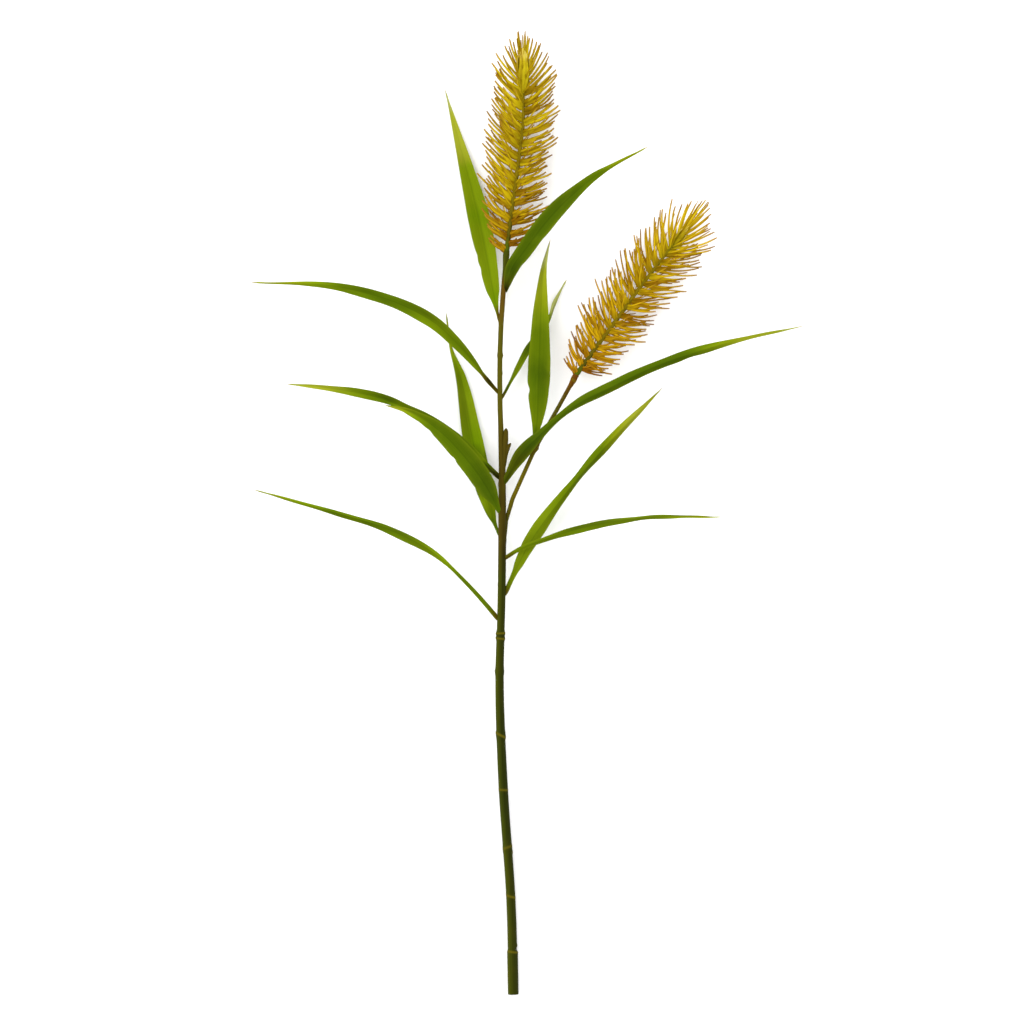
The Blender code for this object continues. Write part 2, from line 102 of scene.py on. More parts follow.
class Surface:
    """Closed tubes gathered into one piece, each a profile carried along a path."""

    def __init__(self) -> None:
        """Starts with no tubes."""
        self.points: list[Array] = []
        self.faces: list[Array] = []
        self.marks: dict[str, list[Array]] = {}
        self.count = 0

    def tubes(self, rings: Array, **marks: Array) -> None:
        """Adds tubes of the same make, with both ends closed and their faces turned outwards.

        Corner j of ring i joins corner j + 1 and ring i + 1 in one four-sided face. An end is closed by
        strips from corner j to the corner that mirrors it, so a profile has an even number of corners. A
        tube whose volume comes out negative has the order of its corners turned round.

        Args:
            rings: Corners shaped (tubes, rings, corners, 3), or without the first for a single tube.
            **marks: A number for each corner under the name of its attribute, in a shape that broadcasts.
        """
        rings = rings if rings.ndim == 4 else rings[None]
        tubes, stations, corners, _ = rings.shape
        number = np.arange(stations * corners).reshape(stations, corners)
        onward = np.roll(number, -1, axis=1)
        wall = np.stack([number[:-1], onward[:-1], onward[1:], number[1:]], axis=-1).reshape(-1, 4)
        half = np.arange(corners // 2 - 1)
        strips = np.stack([half, half + 1, corners - 2 - half, corners - 1 - half], axis=-1)
        faces = np.concatenate([wall, strips[:, ::-1], strips + number[-1, 0]])
        flat = rings.reshape(tubes, -1, 3)
        middle = flat.mean(axis=1, keepdims=True)
        a, b, c, d = (flat[:, faces[:, k]] - middle for k in range(4))
        volume = (np.cross(a, b) * c).sum(axis=(1, 2)) + (np.cross(a, c) * d).sum(axis=(1, 2))
        every = faces[None] + (np.arange(tubes) * stations * corners)[:, None, None]
        every = np.where((volume < 0)[:, None, None], every[..., ::-1], every)
        self.points.append(rings.reshape(-1, 3))
        self.faces.append(every.reshape(-1, 4) + self.count)
        self.count += rings[..., 0].size
        for name, values in marks.items():
            whole = np.broadcast_to(values, rings.shape[:3])
            self.marks.setdefault(name, []).append(whole.reshape(-1))

    def piece(self, name: str, material: bpy.types.Material, node: str, slot: str) -> None:
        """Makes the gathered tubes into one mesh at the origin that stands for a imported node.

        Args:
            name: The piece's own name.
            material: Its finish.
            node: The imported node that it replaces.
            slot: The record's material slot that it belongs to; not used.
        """
        points = (np.concatenate(self.points) + ORIGIN) * MM
        faces = np.concatenate(self.faces)
        mesh = bpy.data.meshes.new(name)
        mesh.vertices.add(len(points))
        mesh.vertices.foreach_set("co", points.astype(np.float32).ravel())
        mesh.loops.add(faces.size)
        mesh.loops.foreach_set("vertex_index", faces.astype(np.int32).ravel())
        mesh.polygons.add(len(faces))
        mesh.polygons.foreach_set("loop_start", np.arange(0, faces.size, 4, dtype=np.int32))
        mesh.update(calc_edges=True)
        for mark, values in self.marks.items():
            attribute = mesh.attributes.new(mark, "FLOAT", "POINT")
            attribute.data.foreach_set("value", np.concatenate(values).astype(np.float32))
        mesh.shade_smooth()
        mesh.set_sharp_from_angle(angle=CREASE)
        mesh.materials.append(material)
        piece = bpy.data.objects.new(name, mesh)
        bpy.context.scene.collection.objects.link(piece)
        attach(piece, "root")
        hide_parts(node)
        log.info("%s: %d faces in place of %s", name, len(faces), node)


def turns_of(corners: int) -> Array:
    """The turns, in radians from level, at which a ring has its corners."""
    return (np.arange(corners) + 0.5) * 2 * np.pi / corners


def round_rings(centres: Array, radii: Array, turns: Array) -> Array:
    """Rings of corners round a line, each at its radius along a spoke at its own turn.

    Args:
        centres: Points of the line.
        radii: A radius for each point and corner, in a shape that broadcasts.
        turns: The corners' turns.

    Returns:
        The corners, shaped (points, corners, 3).
    """
    tangents = unit(np.gradient(centres, axis=0))
    sides = unit(np.cross(tangents, UP))
    ups = np.cross(sides, tangents)
    spokes = np.cos(turns)[:, None] * sides[:, None] + np.sin(turns)[:, None] * ups[:, None]
    return centres[:, None] + spokes * radii[..., None]


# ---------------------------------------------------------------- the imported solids, read


class Solid:
    """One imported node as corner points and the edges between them."""

    def __init__(self, node: str) -> None:
        """Reads a node and makes corners in the same place one.

        Args:
            node: The node's name.
        """
        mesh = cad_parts[node].data
        corners = np.empty(len(mesh.vertices) * 3, np.float32)
        mesh.vertices.foreach_get("co", corners)
        edges = np.empty(len(mesh.edges) * 2, np.int32)
        mesh.edges.foreach_get("vertices", edges)
        whole = np.round(corners.reshape(-1, 3).astype(float) / MM, 2)
        self.points, same = np.unique(whole, axis=0, return_inverse=True)
        self.edges = same.reshape(-1)[edges].reshape(-1, 2)

    def sections(self, heights: Array, sizing: int) -> tuple[Array, Array]:
        """Cuts the solid across at each height: where its edges cross a plane of one y.

        Args:
            heights: The y of each cut.
            sizing: The direction whose extent gives the radius, 0 for x or 2 for z.

        Returns:
            The middle of each cut, and its radius.
        """
        points = self.points - ORIGIN
        start, end = points[self.edges[:, 0]], points[self.edges[:, 1]]
        rising = np.abs(end[:, 1] - start[:, 1]) > LEAST_RISE
        start, end = start[rising], end[rising]
        share = (heights[:, None] - start[None, :, 1]) / (end - start)[:, 1]
        crossing = start + (end - start) * share[..., None]
        missed = ((share < 0) | (share > 1))[..., None]
        lowest = np.where(missed, np.inf, crossing).min(axis=1)
        highest = np.where(missed, -np.inf, crossing).max(axis=1)
        return (lowest + highest) / 2, (highest - lowest)[:, sizing] / 2

    def rings(self, start: int) -> list[Array]:
        """The corners in rings: each ring holds those that edges first reach from the ring before it.

        Args:
            start: The corner to start from.

        Returns:
            The points of each ring.
        """
        linked = np.zeros((len(self.points),) * 2, bool)
        linked[self.edges[:, 0], self.edges[:, 1]] = True
        linked |= linked.T
        unseen = np.ones(len(self.points), bool)
        ring, rings = np.array([start]), []
        while len(ring):
            unseen[ring] = False
            rings.append(self.points[ring] - ORIGIN)
            ring = np.flatnonzero(linked[ring].any(axis=0) & unseen)
        return rings


def shoot_origin() -> Array:
    """Finds the shoot's origin from the middle of its cut end.

    Returns:
        Its place in the frame, in millimetres.
    """
    points = Solid("main_stem").points
    cut = points[points[:, 1] < points[:, 1].min() + CUT_DEPTH]
    return cut.mean(axis=0) - CUT_END


ORIGIN = shoot_origin()


# ---------------------------------------------------------------- shader sums


class Wire:
    """A shader socket that can stand in a sum of numbers."""

    def __init__(self, paint: "Paint", socket: bpy.types.NodeSocket) -> None:
        """Holds an output socket of a material."""
        self.paint = paint
        self.socket = socket

    def _sum(self, operation: str, *terms: Any) -> "Wire":
        """One Math node over the given terms."""
        return self.paint.node("ShaderNodeMath", {"operation": operation}, dict(enumerate(terms)))

    def __add__(self, other: Any) -> "Wire":
        """self + other."""
        return self._sum("ADD", self, other)

    def __sub__(self, other: Any) -> "Wire":
        """self - other."""
        return self._sum("SUBTRACT", self, other)

    def __rsub__(self, other: Any) -> "Wire":
        """other - self."""
        return self._sum("SUBTRACT", other, self)

    def __mul__(self, other: Any) -> "Wire":
        """self * other."""
        return self._sum("MULTIPLY", self, other)

    def __pow__(self, other: Any) -> "Wire":
        """self ** other."""
        return self._sum("POWER", self, other)

    def __abs__(self) -> "Wire":
        """The size of self without its sign."""
        return self._sum("ABSOLUTE", self)

    __radd__ = __add__
    __rmul__ = __mul__

    def wave(self, turns: float) -> "Wire":
        """A wave from 0 to 1 that repeats this many times as self goes from 0 to 1."""
        return self._sum("SINE", self * (turns * 2 * np.pi)) * 0.5 + 0.5

    def step(self, low: float, high: float) -> "Wire":
        """0 below low and 1 above high, with a smooth rise between; the other way round if high is less."""
        values = {"Value": self, "From Min": low, "From Max": high}
        return self.paint.node("ShaderNodeMapRange", {"interpolation_type": "SMOOTHSTEP"}, values)


class Paint:
    """A material being put together from nodes."""

    def __init__(self, name: str) -> None:
        """Starts a material with a plain Principled surface.

        Args:
            name: The material's name.
        """
        self.material = bpy.data.materials.new(name)
        self.material.use_nodes = True
        self.tree = self.material.node_tree
        self.shader = self.tree.nodes["Principled BSDF"]

    def feed(self, socket: bpy.types.NodeSocket, value: Any) -> None:
        """Links a wire to an input socket, or sets the socket.

        Args:
            socket: The input socket.
            value: A wire, number, colour or vector.
        """
        if isinstance(value, Wire):
            self.tree.links.new(value.socket, socket)
        elif socket.type == "RGBA":
            socket.default_value = (*value, 1.0)
        else:
            socket.default_value = value

    def node(
        self,
        kind: str,
        settings: Mapping[str, Any] | None = None,
        inputs: Mapping[str | int, Any] | None = None,
        output: str | int = 0,
    ) -> Wire:
        """Adds any node.

        Args:
            kind: The node's type.
            settings: Its own settings, set first. "stops" gives a colour ramp's places and colours.
            inputs: Values or wires for its sockets, by name or number.
            output: The output wanted, by name or number.

        Returns:
            The output as a wire.
        """
        made = self.tree.nodes.new(kind)
        for setting, value in (settings or {}).items():
            if setting == "stops":
                self._set_stops(made.color_ramp, value)
            else:
                setattr(made, setting, value)
        used = {socket.name: socket for socket in made.inputs if socket.enabled}
        for place, value in (inputs or {}).items():
            self.feed(made.inputs[place] if isinstance(place, int) else used[place], value)
        if isinstance(output, int):
            return Wire(self, [socket for socket in made.outputs if socket.enabled][output])
        return Wire(self, made.outputs[output])

    def _set_stops(self, ramp: bpy.types.ColorRamp, stops: Stops) -> None:
        """Gives a ramp its places and colours.

        Args:
            ramp: The ramp.
            stops: A place and a colour for each of its stops.
        """
        while len(ramp.elements) < len(stops):
            ramp.elements.new(1.0)
        for element, (place, colour) in zip(ramp.elements, stops):
            element.position = place
            element.color = (*colour, 1.0)

    def mark(self, name: str) -> Wire:
        """A number that the piece's surface carries under this name."""
        return self.node("ShaderNodeAttribute", {"attribute_name": name}, output="Fac")

    def object_place(self) -> Wire:
        """The point's own place in metres."""
        return self.node("ShaderNodeTexCoord", output="Object")

    def ramp(self, at: Wire, stops: Stops) -> Wire:
        """A colour that changes smoothly through the stops."""
        return self.node("ShaderNodeValToRGB", {"stops": stops}, {"Fac": at})

    def mix(self, share: Any, first: Any, second: Any, how: str = "MIX") -> Wire:
        """The first colour where the share is 0 and the second, or its effect on the first, where it is 1."""
        settings = {"data_type": "RGBA", "blend_type": how}
        return self.node("ShaderNodeMix", settings, {"Factor": share, "A": first, "B": second})

    def grain(self, place: Wire, stretch: Point = (1.0, 1.0, 1.0), detail: float = 2.0) -> Wire:
        """Soft noise.

        Args:
            place: Where it is read.
            stretch: How many spots it has to the unit in each direction.
            detail: How many finer layers it has.

        Returns:
            A wire from 0 to 1.
        """
        scaled = self.node("ShaderNodeMapping", {}, {"Vector": place, "Scale": stretch}, "Vector")
        settings = {"noise_dimensions": "3D"}
        return self.node("ShaderNodeTexNoise", settings, {"Vector": scaled, "Scale": 1.0, "Detail": detail})

    def spread(self, x: Any, y: Any, z: Any) -> Wire:
        """Three numbers as one place, for a pattern that follows the surface."""
        return self.node("ShaderNodeCombineXYZ", {}, {"X": x, "Y": y, "Z": z})

    def relief(self, height: Wire, depth: float, strength: float) -> None:
        """Shades a height from 0 to 1 as if 1 stood the depth, in millimetres, above 0."""
        inputs = {"Height": height, "Distance": depth * MM, "Strength": strength}
        self.feed(self.shader.inputs["Normal"], self.node("ShaderNodeBump", {}, inputs))

    def finish(self, **values: Any) -> bpy.types.Material:
        """Sets the surface's sockets.

        Args:
            **values: A wire or a value for each socket, under its name with _ for a space.

        Returns:
            The material.
        """
        for name, value in values.items():
            self.feed(self.shader.inputs[name.replace("_", " ")], value)
        return self.material


# ---------------------------------------------------------------- finishes


class Shade(Enum):
    """The plant's own colours, from the dark sheaths at its foot to the dry tip of a blade."""

    NOTCH = (0.014, 0.012, 0.001)
    DARK_SHEATH = (0.036, 0.046, 0.001)
    SHEATH = (0.047, 0.055, 0.001)
    BARK = (0.060, 0.043, 0.002)
    RUST = (0.088, 0.048, 0.003)
    FOX = (0.130, 0.047, 0.002)
    OLIVE = (0.079, 0.070, 0.003)
    OCHRE = (0.134, 0.101, 0.002)
    HONEY = (0.182, 0.130, 0.002)
    DEEP = (0.030, 0.054, 0.001)
    SHADOW = (0.046, 0.079, 0.001)
    LEAF = (0.060, 0.100, 0.001)
    MEADOW = (0.073, 0.113, 0.001)
    SPRING = (0.088, 0.129, 0.001)
    BRIGHT = (0.111, 0.156, 0.002)
    GRASS = (0.112, 0.182, 0.001)
    FRESH = (0.136, 0.194, 0.002)
    LIME = (0.160, 0.192, 0.003)
    PALE = (0.208, 0.232, 0.010)
    YELLOWING = (0.260, 0.282, 0.018)
    STRAW = (0.325, 0.343, 0.100)


def shades(text: str) -> Stops:
    """Stops from runs such as "0 bark, 6 18 meadow": percents of the way up, and the shade there."""
    runs = [run.split() for run in text.split(",")]
    return tuple((float(place) / 100, Shade[run[-1].upper()].value) for run in runs for place in run[:-1])


@dataclass(frozen=True)
class BladeFinish:
    """A grass blade: shades from root to tip, parallel veins, a midrib, a paler rim, and painted light and
    shade on the two halves of its fold.
    """

    stops: Stops
    # painted light and shade on the two halves of the fold
    sides: Pairs = ((0.0, 0.0),)  # along, and how much lighter the right half is
    seed: float = 0.0
    veins: int = 9
    gloss: float = 0.01
    rim: Colour = (0.24, 0.28, 0.008)
    husk: Colour = (0.22, 0.13, 0.03)  # at its point
    underside: Colour = (0.13, 0.16, 0.03)
    vein_tint: Colour = (0.70, 0.76, 0.60)  # what its colour is multiplied by along its veins
    midrib_tint: Colour = (0.62, 0.68, 0.50)

    def material(self, name: str) -> bpy.types.Material:
        """The finish as a material that follows the marks along, across and below on a blade.

        Args:
            name: The material's name.

        Returns:
            The material.
        """
        paint = Paint(name)
        along, across = paint.mark("along"), paint.mark("across")
        streaks = paint.grain(paint.spread(across * 5.0, along * 6.0, self.seed))
        clouds = paint.grain(paint.spread(across * 0.8, along * 9.0, self.seed + 5.0))
        body = paint.ramp(along + (streaks - 0.5) * 0.07 + (clouds - 0.5) * 0.10, self.stops)
        # Painted light and shade: one half of the fold lighter than the other, as the sides table gives along
        # the blade.
        slant = paint.ramp(along, [(place, (0.5 + 0.5 * light,) * 3) for place, light in self.sides])
        half = across.step(-0.3, 0.3) - 0.5
        body = paint.mix(1.0, body, (slant - 0.5) * half * 4.0 + 1.0, "MULTIPLY")
        veins = (across * 0.5 + 0.5).wave(self.veins) * streaks.step(0.25, 0.6)
        body = paint.mix(veins * 0.22, body, self.vein_tint, "MULTIPLY")
        fade = (abs(across) ** 4.0) * 0.22 + clouds.step(0.5, 0.75) * 0.06
        body = paint.mix(fade, body, self.rim)
        midrib = abs(across).step(0.13, 0.03) * along.step(1.0, 0.6)
        body = paint.mix(midrib * 0.45, body, self.midrib_tint, "MULTIPLY")
        body = paint.mix(along.step(0.965, 0.995) * 0.8, body, self.husk)
        body = paint.mix(paint.mark("below") * 0.30, body, self.underside)
        paint.relief(veins * 0.5 + midrib * 0.6 + streaks * 0.4, 0.12, 0.6)
        return paint.finish(Base_Color=body, Roughness=0.46 + streaks * 0.16, Specular_IOR_Level=self.gloss)


@dataclass(frozen=True)
class StalkFinish:
    """A smooth culm: shades up its length, fine lengthwise fibres, painted shade down its right side, and its
    joints.
    """

    stops: Stops
    fibre: float = 0.35  # how much of their tint the fibres take
    fibre_tint: Colour = (0.45, 0.50, 0.40)
    # painted shade down the right side: how much darker it is than the left
    painted_right_shade: float = 0.0  # how much darker its right side is than its left
    painted_right_shade_end: float = 2.0  # the rise where that ends, or above 1 for nowhere
    painted_right_shade_fade: float = 0.08  # how far below and above that it fades
    gloss: float = 0.03

    def material(self, name: str) -> bpy.types.Material:
        """The finish as a material that follows the marks rise, joint and side on a stalk.

        Args:
            name: The material's name.

        Returns:
            The material.
        """
        paint = Paint(name)
        rise, joint = paint.mark("rise"), paint.mark("joint")
        place = paint.object_place()
        fibres = paint.grain(place, (900.0, 22.0, 900.0), 4.0)
        blotches = paint.grain(place, (260.0, 70.0, 260.0), 3.0)
        body = paint.ramp(rise + (blotches - 0.5) * 0.05, self.stops)
        body = paint.mix(fibres.step(0.4, 0.65) * self.fibre, body, self.fibre_tint, "MULTIPLY")
        body = paint.mix(blotches.step(0.52, 0.72) * 0.28, body, Shade.OLIVE.value)
        # Painted shade: the right side darkened, up to the rise where it ends.
        below = rise.step(self.painted_right_shade_end + self.painted_right_shade_fade, self.painted_right_shade_end - self.painted_right_shade_fade)
        shaded = paint.mark("side").step(-0.95, 0.35) * below
        body = paint.mix(1.0, body, 1.0 - shaded * self.painted_right_shade, "MULTIPLY")
        # A joint mark above 0 pales the stalk towards OCHRE and one below 0 darkens it towards NOTCH: dark
        # scars and notches on the stem and branch, and painted shade down the right side of a head's stalk.
        body = paint.mix(joint.step(0.1, 0.9) * 0.5, body, Shade.OCHRE.value)
        body = paint.mix(joint.step(-0.1, -0.9) * 0.75, body, Shade.NOTCH.value)
        paint.relief(fibres, 0.15, 0.5)
        return paint.finish(Base_Color=body, Roughness=0.42 + blotches * 0.2, Specular_IOR_Level=self.gloss)


@dataclass(frozen=True)
class BristleFinish:
    """Dry bristles: rust low on the head, gold in the middle, and pale yellow where they fuse at its tip."""

    low: Colour = (0.44, 0.235, 0.003)
    middle: Colour = (0.56, 0.41, 0.004)
    high: Colour = (0.57, 0.44, 0.006)
    crest: Colour = (0.58, 0.48, 0.010)
    heart: Colour = (0.38, 0.32, 0.003)  # close to the stalk
    tip: Colour = (0.36, 0.185, 0.025)
    glow: Colour = (0.95, 0.84, 0.200)  # the ends of the leaves that fuse into a spear
    edge: Colour = (0.15, 0.060, 0.001)
    dull: Colour = (0.42, 0.32, 0.16)  # what the dullest bristle's colour is multiplied by
    bright: Colour = (1.0, 1.0, 1.0)  # and the brightest's
    fibre_tint: Colour = (0.62, 0.46, 0.25)
    gloss: float = 0.03

    def material(self, name: str) -> bpy.types.Material:
        """The finish as a material that follows the marks up, along, across and tone on the bristles.

        Args:
            name: The material's name.

        Returns:
            The material.
        """
        paint = Paint(name)
        up, along, tone = paint.mark("up"), paint.mark("along"), paint.mark("tone")
        across = abs(paint.mark("across"))
        stops = [(0.0, self.low), (0.28, self.middle), (0.72, self.high), (0.92, self.crest)]
        body = paint.ramp(up + (tone - 0.5) * 0.16, stops)
        body = paint.mix(along.step(0.45, 0.0) * up.step(0.02, 0.4) * 0.7, body, self.heart)
        body = paint.mix(along.step(0.70, 0.97) * 0.75, body, self.tip)
        body = paint.mix(along.step(0.36, 0.56) * up.step(0.88, 0.96) * 0.7, body, self.glow)
        body = paint.mix(1.0, body, paint.ramp(tone, [(0.0, self.dull), (1.0, self.bright)]), "MULTIPLY")
        fibres = paint.grain(paint.spread(across * 3.0, along * 3.0, tone * 40.0))
        body = paint.mix(across.step(0.35, 1.0) * up.step(1.1, 0.2) * 0.75, body, self.edge)
        body = paint.mix(fibres.step(0.45, 0.75) * 0.4, body, self.fibre_tint, "MULTIPLY")
        paint.relief(fibres, 0.10, 0.5)
        return paint.finish(Base_Color=body, Roughness=0.55, Specular_IOR_Level=self.gloss)


@dataclass(frozen=True)
class TableFinish:
    """A plain pale table."""

    colour: Colour = (0.96, 0.96, 0.96)

    def material(self, name: str) -> bpy.types.Material:
        """The finish as a material."""
        return Paint(name).finish(Base_Color=self.colour, Roughness=0.9, Specular_IOR_Level=0.0)


# ---------------------------------------------------------------- the shoot's parts


@dataclass(frozen=True)
class Joint:
    """A ring, lip or scar on a stalk, where a sheath ends or a leaf grew."""

    height: float
    swell: float  # how far it stands out
    width: float  # along the stalk
    slant: float = 0.0  # how much higher its left side is than its right
    facing: float | None = None  # degrees round the stalk that it is centred on, or all round
    tone: float = 1.0  # paler above 0 and darker below 0

    def relief(self, heights: Array, turns: Array) -> Array:
        """The hump that it makes: a bell along the stalk, times a bell round it if it faces one way.

        Args:
            heights: Heights up the stalk, shaped to broadcast with the turns.
            turns: Turns round the stalk in radians.

        Returns:
            A share from 0 to 1 for each height and turn.
        """
        hump = bell(heights + 0.5 * self.slant * np.cos(turns), self.height, self.width)
        if self.facing is None:
            return hump
        return hump * np.exp(-6.0 * (1.0 - np.cos(turns - np.radians(self.facing))))


def jointed(path: Array, girth: Array, joints: Sequence[Joint]) -> tuple[Array, Array]:
    """The rings of a stalk whose girth grows by each joint's swell x its hump.

    Args:
        path: Points of its line.
        girth: Its plain radius at each point and corner.
        joints: Its joints.

    Returns:
        The rings, and the sum of each joint's tone x its hump, from -1 to 1.
    """
    turns = turns_of(girth.shape[1])
    tone = np.zeros_like(girth)
    for joint in joints:
        hump = joint.relief(path[:, 1:2], turns[None])
        girth = girth + joint.swell * hump
        tone = tone + joint.tone * hump
    return round_rings(path, girth, turns), np.clip(tone, -1.0, 1.0)


@dataclass
class Stalk:
    """The main stem: a round culm with sheath rings, scars and lips, and the side shoot cut off beside it."""

    node: str = "main_stem"
    corners: int = 56
    spacing: float = 0.8  # between two rings
    hidden: tuple[float, float] = (386.0, 418.0)  # heights where the cut shoot is grown into the solid
    rib: float = 0.035  # how far the culm's own ribs stand out, as a share of its radius
    ribs: int = 11
    rib_twist: float = 0.01  # radians that the ribs turn in each millimetre
    rib_fading: float = 0.021  # radians in each millimetre of the wave by which they come and go
    trim: tuple[float, float] = (0.3, 0.2)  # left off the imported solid's foot and top
    soften: int = 9  # how many rings its line is averaged over
    joints: tuple[Joint, ...] = (
        Joint(31.5, 0.25, 0.9, 1.0),
        Joint(33.6, -0.5, 1.4, 0.0, 20.0, -1.0),
        Joint(36.0, 0.35, 1.3, 0.0, 10.0, 0.6),
        Joint(72.0, 0.12, 1.0, 2.2),
        Joint(104.0, 0.30, 1.2, 0.0, 0.0),
        Joint(108.0, 0.14, 1.3, -2.0, None, 0.7),
        Joint(150.0, 0.15, 0.9, 0.8),
        Joint(190.0, 0.30, 1.1, 4.0),
        Joint(236.0, 0.15, 1.6, 1.0, 180.0, 0.4),
        Joint(260.6, 0.28, 0.8, 0.6),
        Joint(264.4, 0.28, 0.8, -0.6),
        Joint(262.5, -0.1, 0.8, 0.0, None, -0.8),
        Joint(300.0, 0.15, 1.4, 0.0, 150.0, -0.4),
        Joint(373.0, 0.30, 2.2, 0.0, 175.0, 0.4),
        Joint(454.0, 0.30, 1.1, 0.0, 0.0, 0.3),
        Joint(467.0, 0.35, 1.3, 0.0, 10.0, 0.3),
        Joint(492.0, 0.30, 1.8, 0.0, 180.0, 0.3),
    )
    shoot_route: Route = ((-1.0, 384.0, 13.6), (-0.4, 392.0, 15.2), (0.2, 402.0, 16.0), (0.8, 414.0, 16.6))
    shoot_girth: Pairs = (
        (0.0, 1.2), (0.25, 1.9), (0.5, 2.05), (0.8, 2.0), (0.92, 1.75), (0.97, 1.3), (1.0, 0.25),
    )
    spur_route: Route = ((0.4, 393.0, 15.6), (1.5, 398.0, 16.2), (2.8, 401.0, 16.4), (4.4, 403.2, 16.6))
    spur_girth: Pairs = ((0.0, 1.3), (0.4, 1.7), (0.75, 1.25), (0.92, 0.7), (1.0, 0.15))
    shoot_rings: int = 48
    shoot_corners: int = 24
    shoot_shade: float = 0.02  # how far below its own rise a shoot is shaded
    shoot_dark: float = 0.5  # how much darker its cut end is
    shoot_dark_length: float = 0.06  # as a share of its own
    # painted shade down the stem's right side, up to two thirds of its height
    finish: StalkFinish = StalkFinish(shades(
        "0 14 sheath, 25 34 dark_sheath, 42 56 sheath, 60 74 bark, 80 89 olive, 92.5 95 rust, 97 sheath",
    ), painted_right_shade=0.58, painted_right_shade_end=0.66)

    def line(self) -> tuple[Array, Array, Array]:
        """The stem's heights with its middle and radius at each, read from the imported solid.

        Returns:
            Heights, middles and radii, with the stretch beside the cut shoot bridged smoothly.
        """
        solid = Solid(self.node)
        reach = solid.points[:, 1] - ORIGIN[1]
        heights = np.arange(reach.min() + self.trim[0], reach.max() - self.trim[1], self.spacing)
        middles, radii = solid.sections(heights, 0)
        clear = (heights < self.hidden[0]) | (heights > self.hidden[1])
        for column in (0, 2):
            middles[:, column] = np.interp(heights, heights[clear], middles[clear, column])
        radii = np.interp(heights, heights[clear], radii[clear])
        beyond = self.soften // 2
        padded = np.pad(middles, ((beyond, beyond), (0, 0)), mode="reflect", reflect_type="odd")
        mean = np.ones(self.soften) / self.soften
        middles = np.column_stack([np.convolve(padded[:, k], mean, "valid") for k in range(3)])
        middles[:, 1] = heights
        return heights, middles, radii

    def build(self) -> None:
        """Builds the stem: radius x (1 + ribs x a wave round it) + each joint's hump, up its line."""
        heights, middles, radii = self.line()
        turns, rise = turns_of(self.corners)[None], heights[:, None]
        fading = np.sin(self.rib_fading * rise + 1.0) ** 2
        ribs = 1.0 + self.rib * np.cos(self.ribs * turns + self.rib_twist * rise) * fading
        rings, tone = jointed(middles, radii[:, None] * (ribs - self.rib), self.joints)
        rings[..., 2] = np.maximum(rings[..., 2], 0.0)
        surface = Surface()
        surface.tubes(rings, rise=rise / heights[-1], joint=tone, side=np.cos(turns))
        self.add_shoot(surface, self.shoot_route, self.shoot_girth, heights[-1])
        self.add_shoot(surface, self.spur_route, self.spur_girth, heights[-1])
        surface.piece("stalk", self.finish.material("culm"), self.node, self.node)

    def add_shoot(self, surface: Surface, route: Route, girth: Pairs, height: float) -> None:
        """Adds a small shoot: a smooth line through its route, with its girth along it.

        Args:
            surface: The surface that it joins.
            route: Points of its line.
            girth: Its radius along it.
            height: The whole stem's height, which its shade follows.
        """
        along = np.sin(np.linspace(0.0, np.pi / 2, self.shoot_rings))
        middles = smooth(along, np.linspace(0.0, 1.0, len(route)), np.array(route))
        radii = np.interp(along, *zip(*girth))
        turns = turns_of(self.shoot_corners)
        rise = middles[:, 1:2] / height - self.shoot_shade
        tone = -self.shoot_dark * bell(along, 1.0, self.shoot_dark_length)[:, None]
        rings = round_rings(middles, radii[:, None], turns)
        surface.tubes(rings, rise=rise, joint=tone, side=np.cos(turns)[None])


@dataclass
class Branch:
    """The side stem that carries the smaller head, from the fork to the bract under the head."""

    node: str = "side_branch"
    corners: int = 36
    spacing: float = 0.7
    fork: Point = (-0.8, 322.0, 11.2)  # where it leaves the heart of the stem
    foot_rings: int = 9
    foot_radius: float = 1.0  # at least
    trim: float = 1.2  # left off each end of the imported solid
    joints: tuple[Joint, ...] = (
        Joint(400.0, 0.35, 1.3, 1.0, 0.0, 0.4),
        Joint(402.5, 0.10, 0.8, 0.0, None, -0.4),
        Joint(449.0, 0.12, 1.0, 0.8),
    )
    # painted shade down the branch's right side too, lighter than on the stem
    finish: StalkFinish = StalkFinish(
        shades("0 sheath, 20 olive, 35 ochre, 80 olive, 90 rust, 96 fox"), fibre=0.3, painted_right_shade=0.3,
    )

    def build(self) -> None:
        """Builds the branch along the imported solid's middle, with a foot that runs down into the fork."""
        solid = Solid(self.node)
        reach = solid.points[:, 1] - ORIGIN[1]
        heights = np.arange(reach.min() + self.trim, reach.max() - self.trim, self.spacing)
        middles, radii = solid.sections(heights, 2)
        foot = np.linspace(0.0, 1.0, self.foot_rings, endpoint=False)[:, None]
        path = np.concatenate([np.array(self.fork) * (1 - foot) + middles[0] * foot, middles])
        girth = np.concatenate([np.full(len(foot), max(radii[0], self.foot_radius)), radii])
        rings, tone = jointed(path, np.repeat(girth[:, None], self.corners, axis=1), self.joints)
        share = (path[:, 1:2] - path[0, 1]) / (path[-1, 1] - path[0, 1])
        surface = Surface()
        surface.tubes(rings, rise=share, joint=tone, side=np.cos(turns_of(self.corners))[None])
        surface.piece("branch", self.finish.material("branch_bark"), self.node, self.node)


class Side(Enum):
    """Which side of a blade or a head something is on, seen from above with the tip away."""

    LEFT = -1
    RIGHT = 1


@dataclass(frozen=True)
class Nick:
    """A bite out of a blade's margin."""

    along: float
    side: Side
    depth: float
    length: float  # as a share of the blade's


class LeafKind(Enum):
    """The kinds of blade, each with the record's material slot for it."""

    LOWER = "lower_leaf"
    LIGHT = "light_leaf"
    DARK = "dark_leaf"


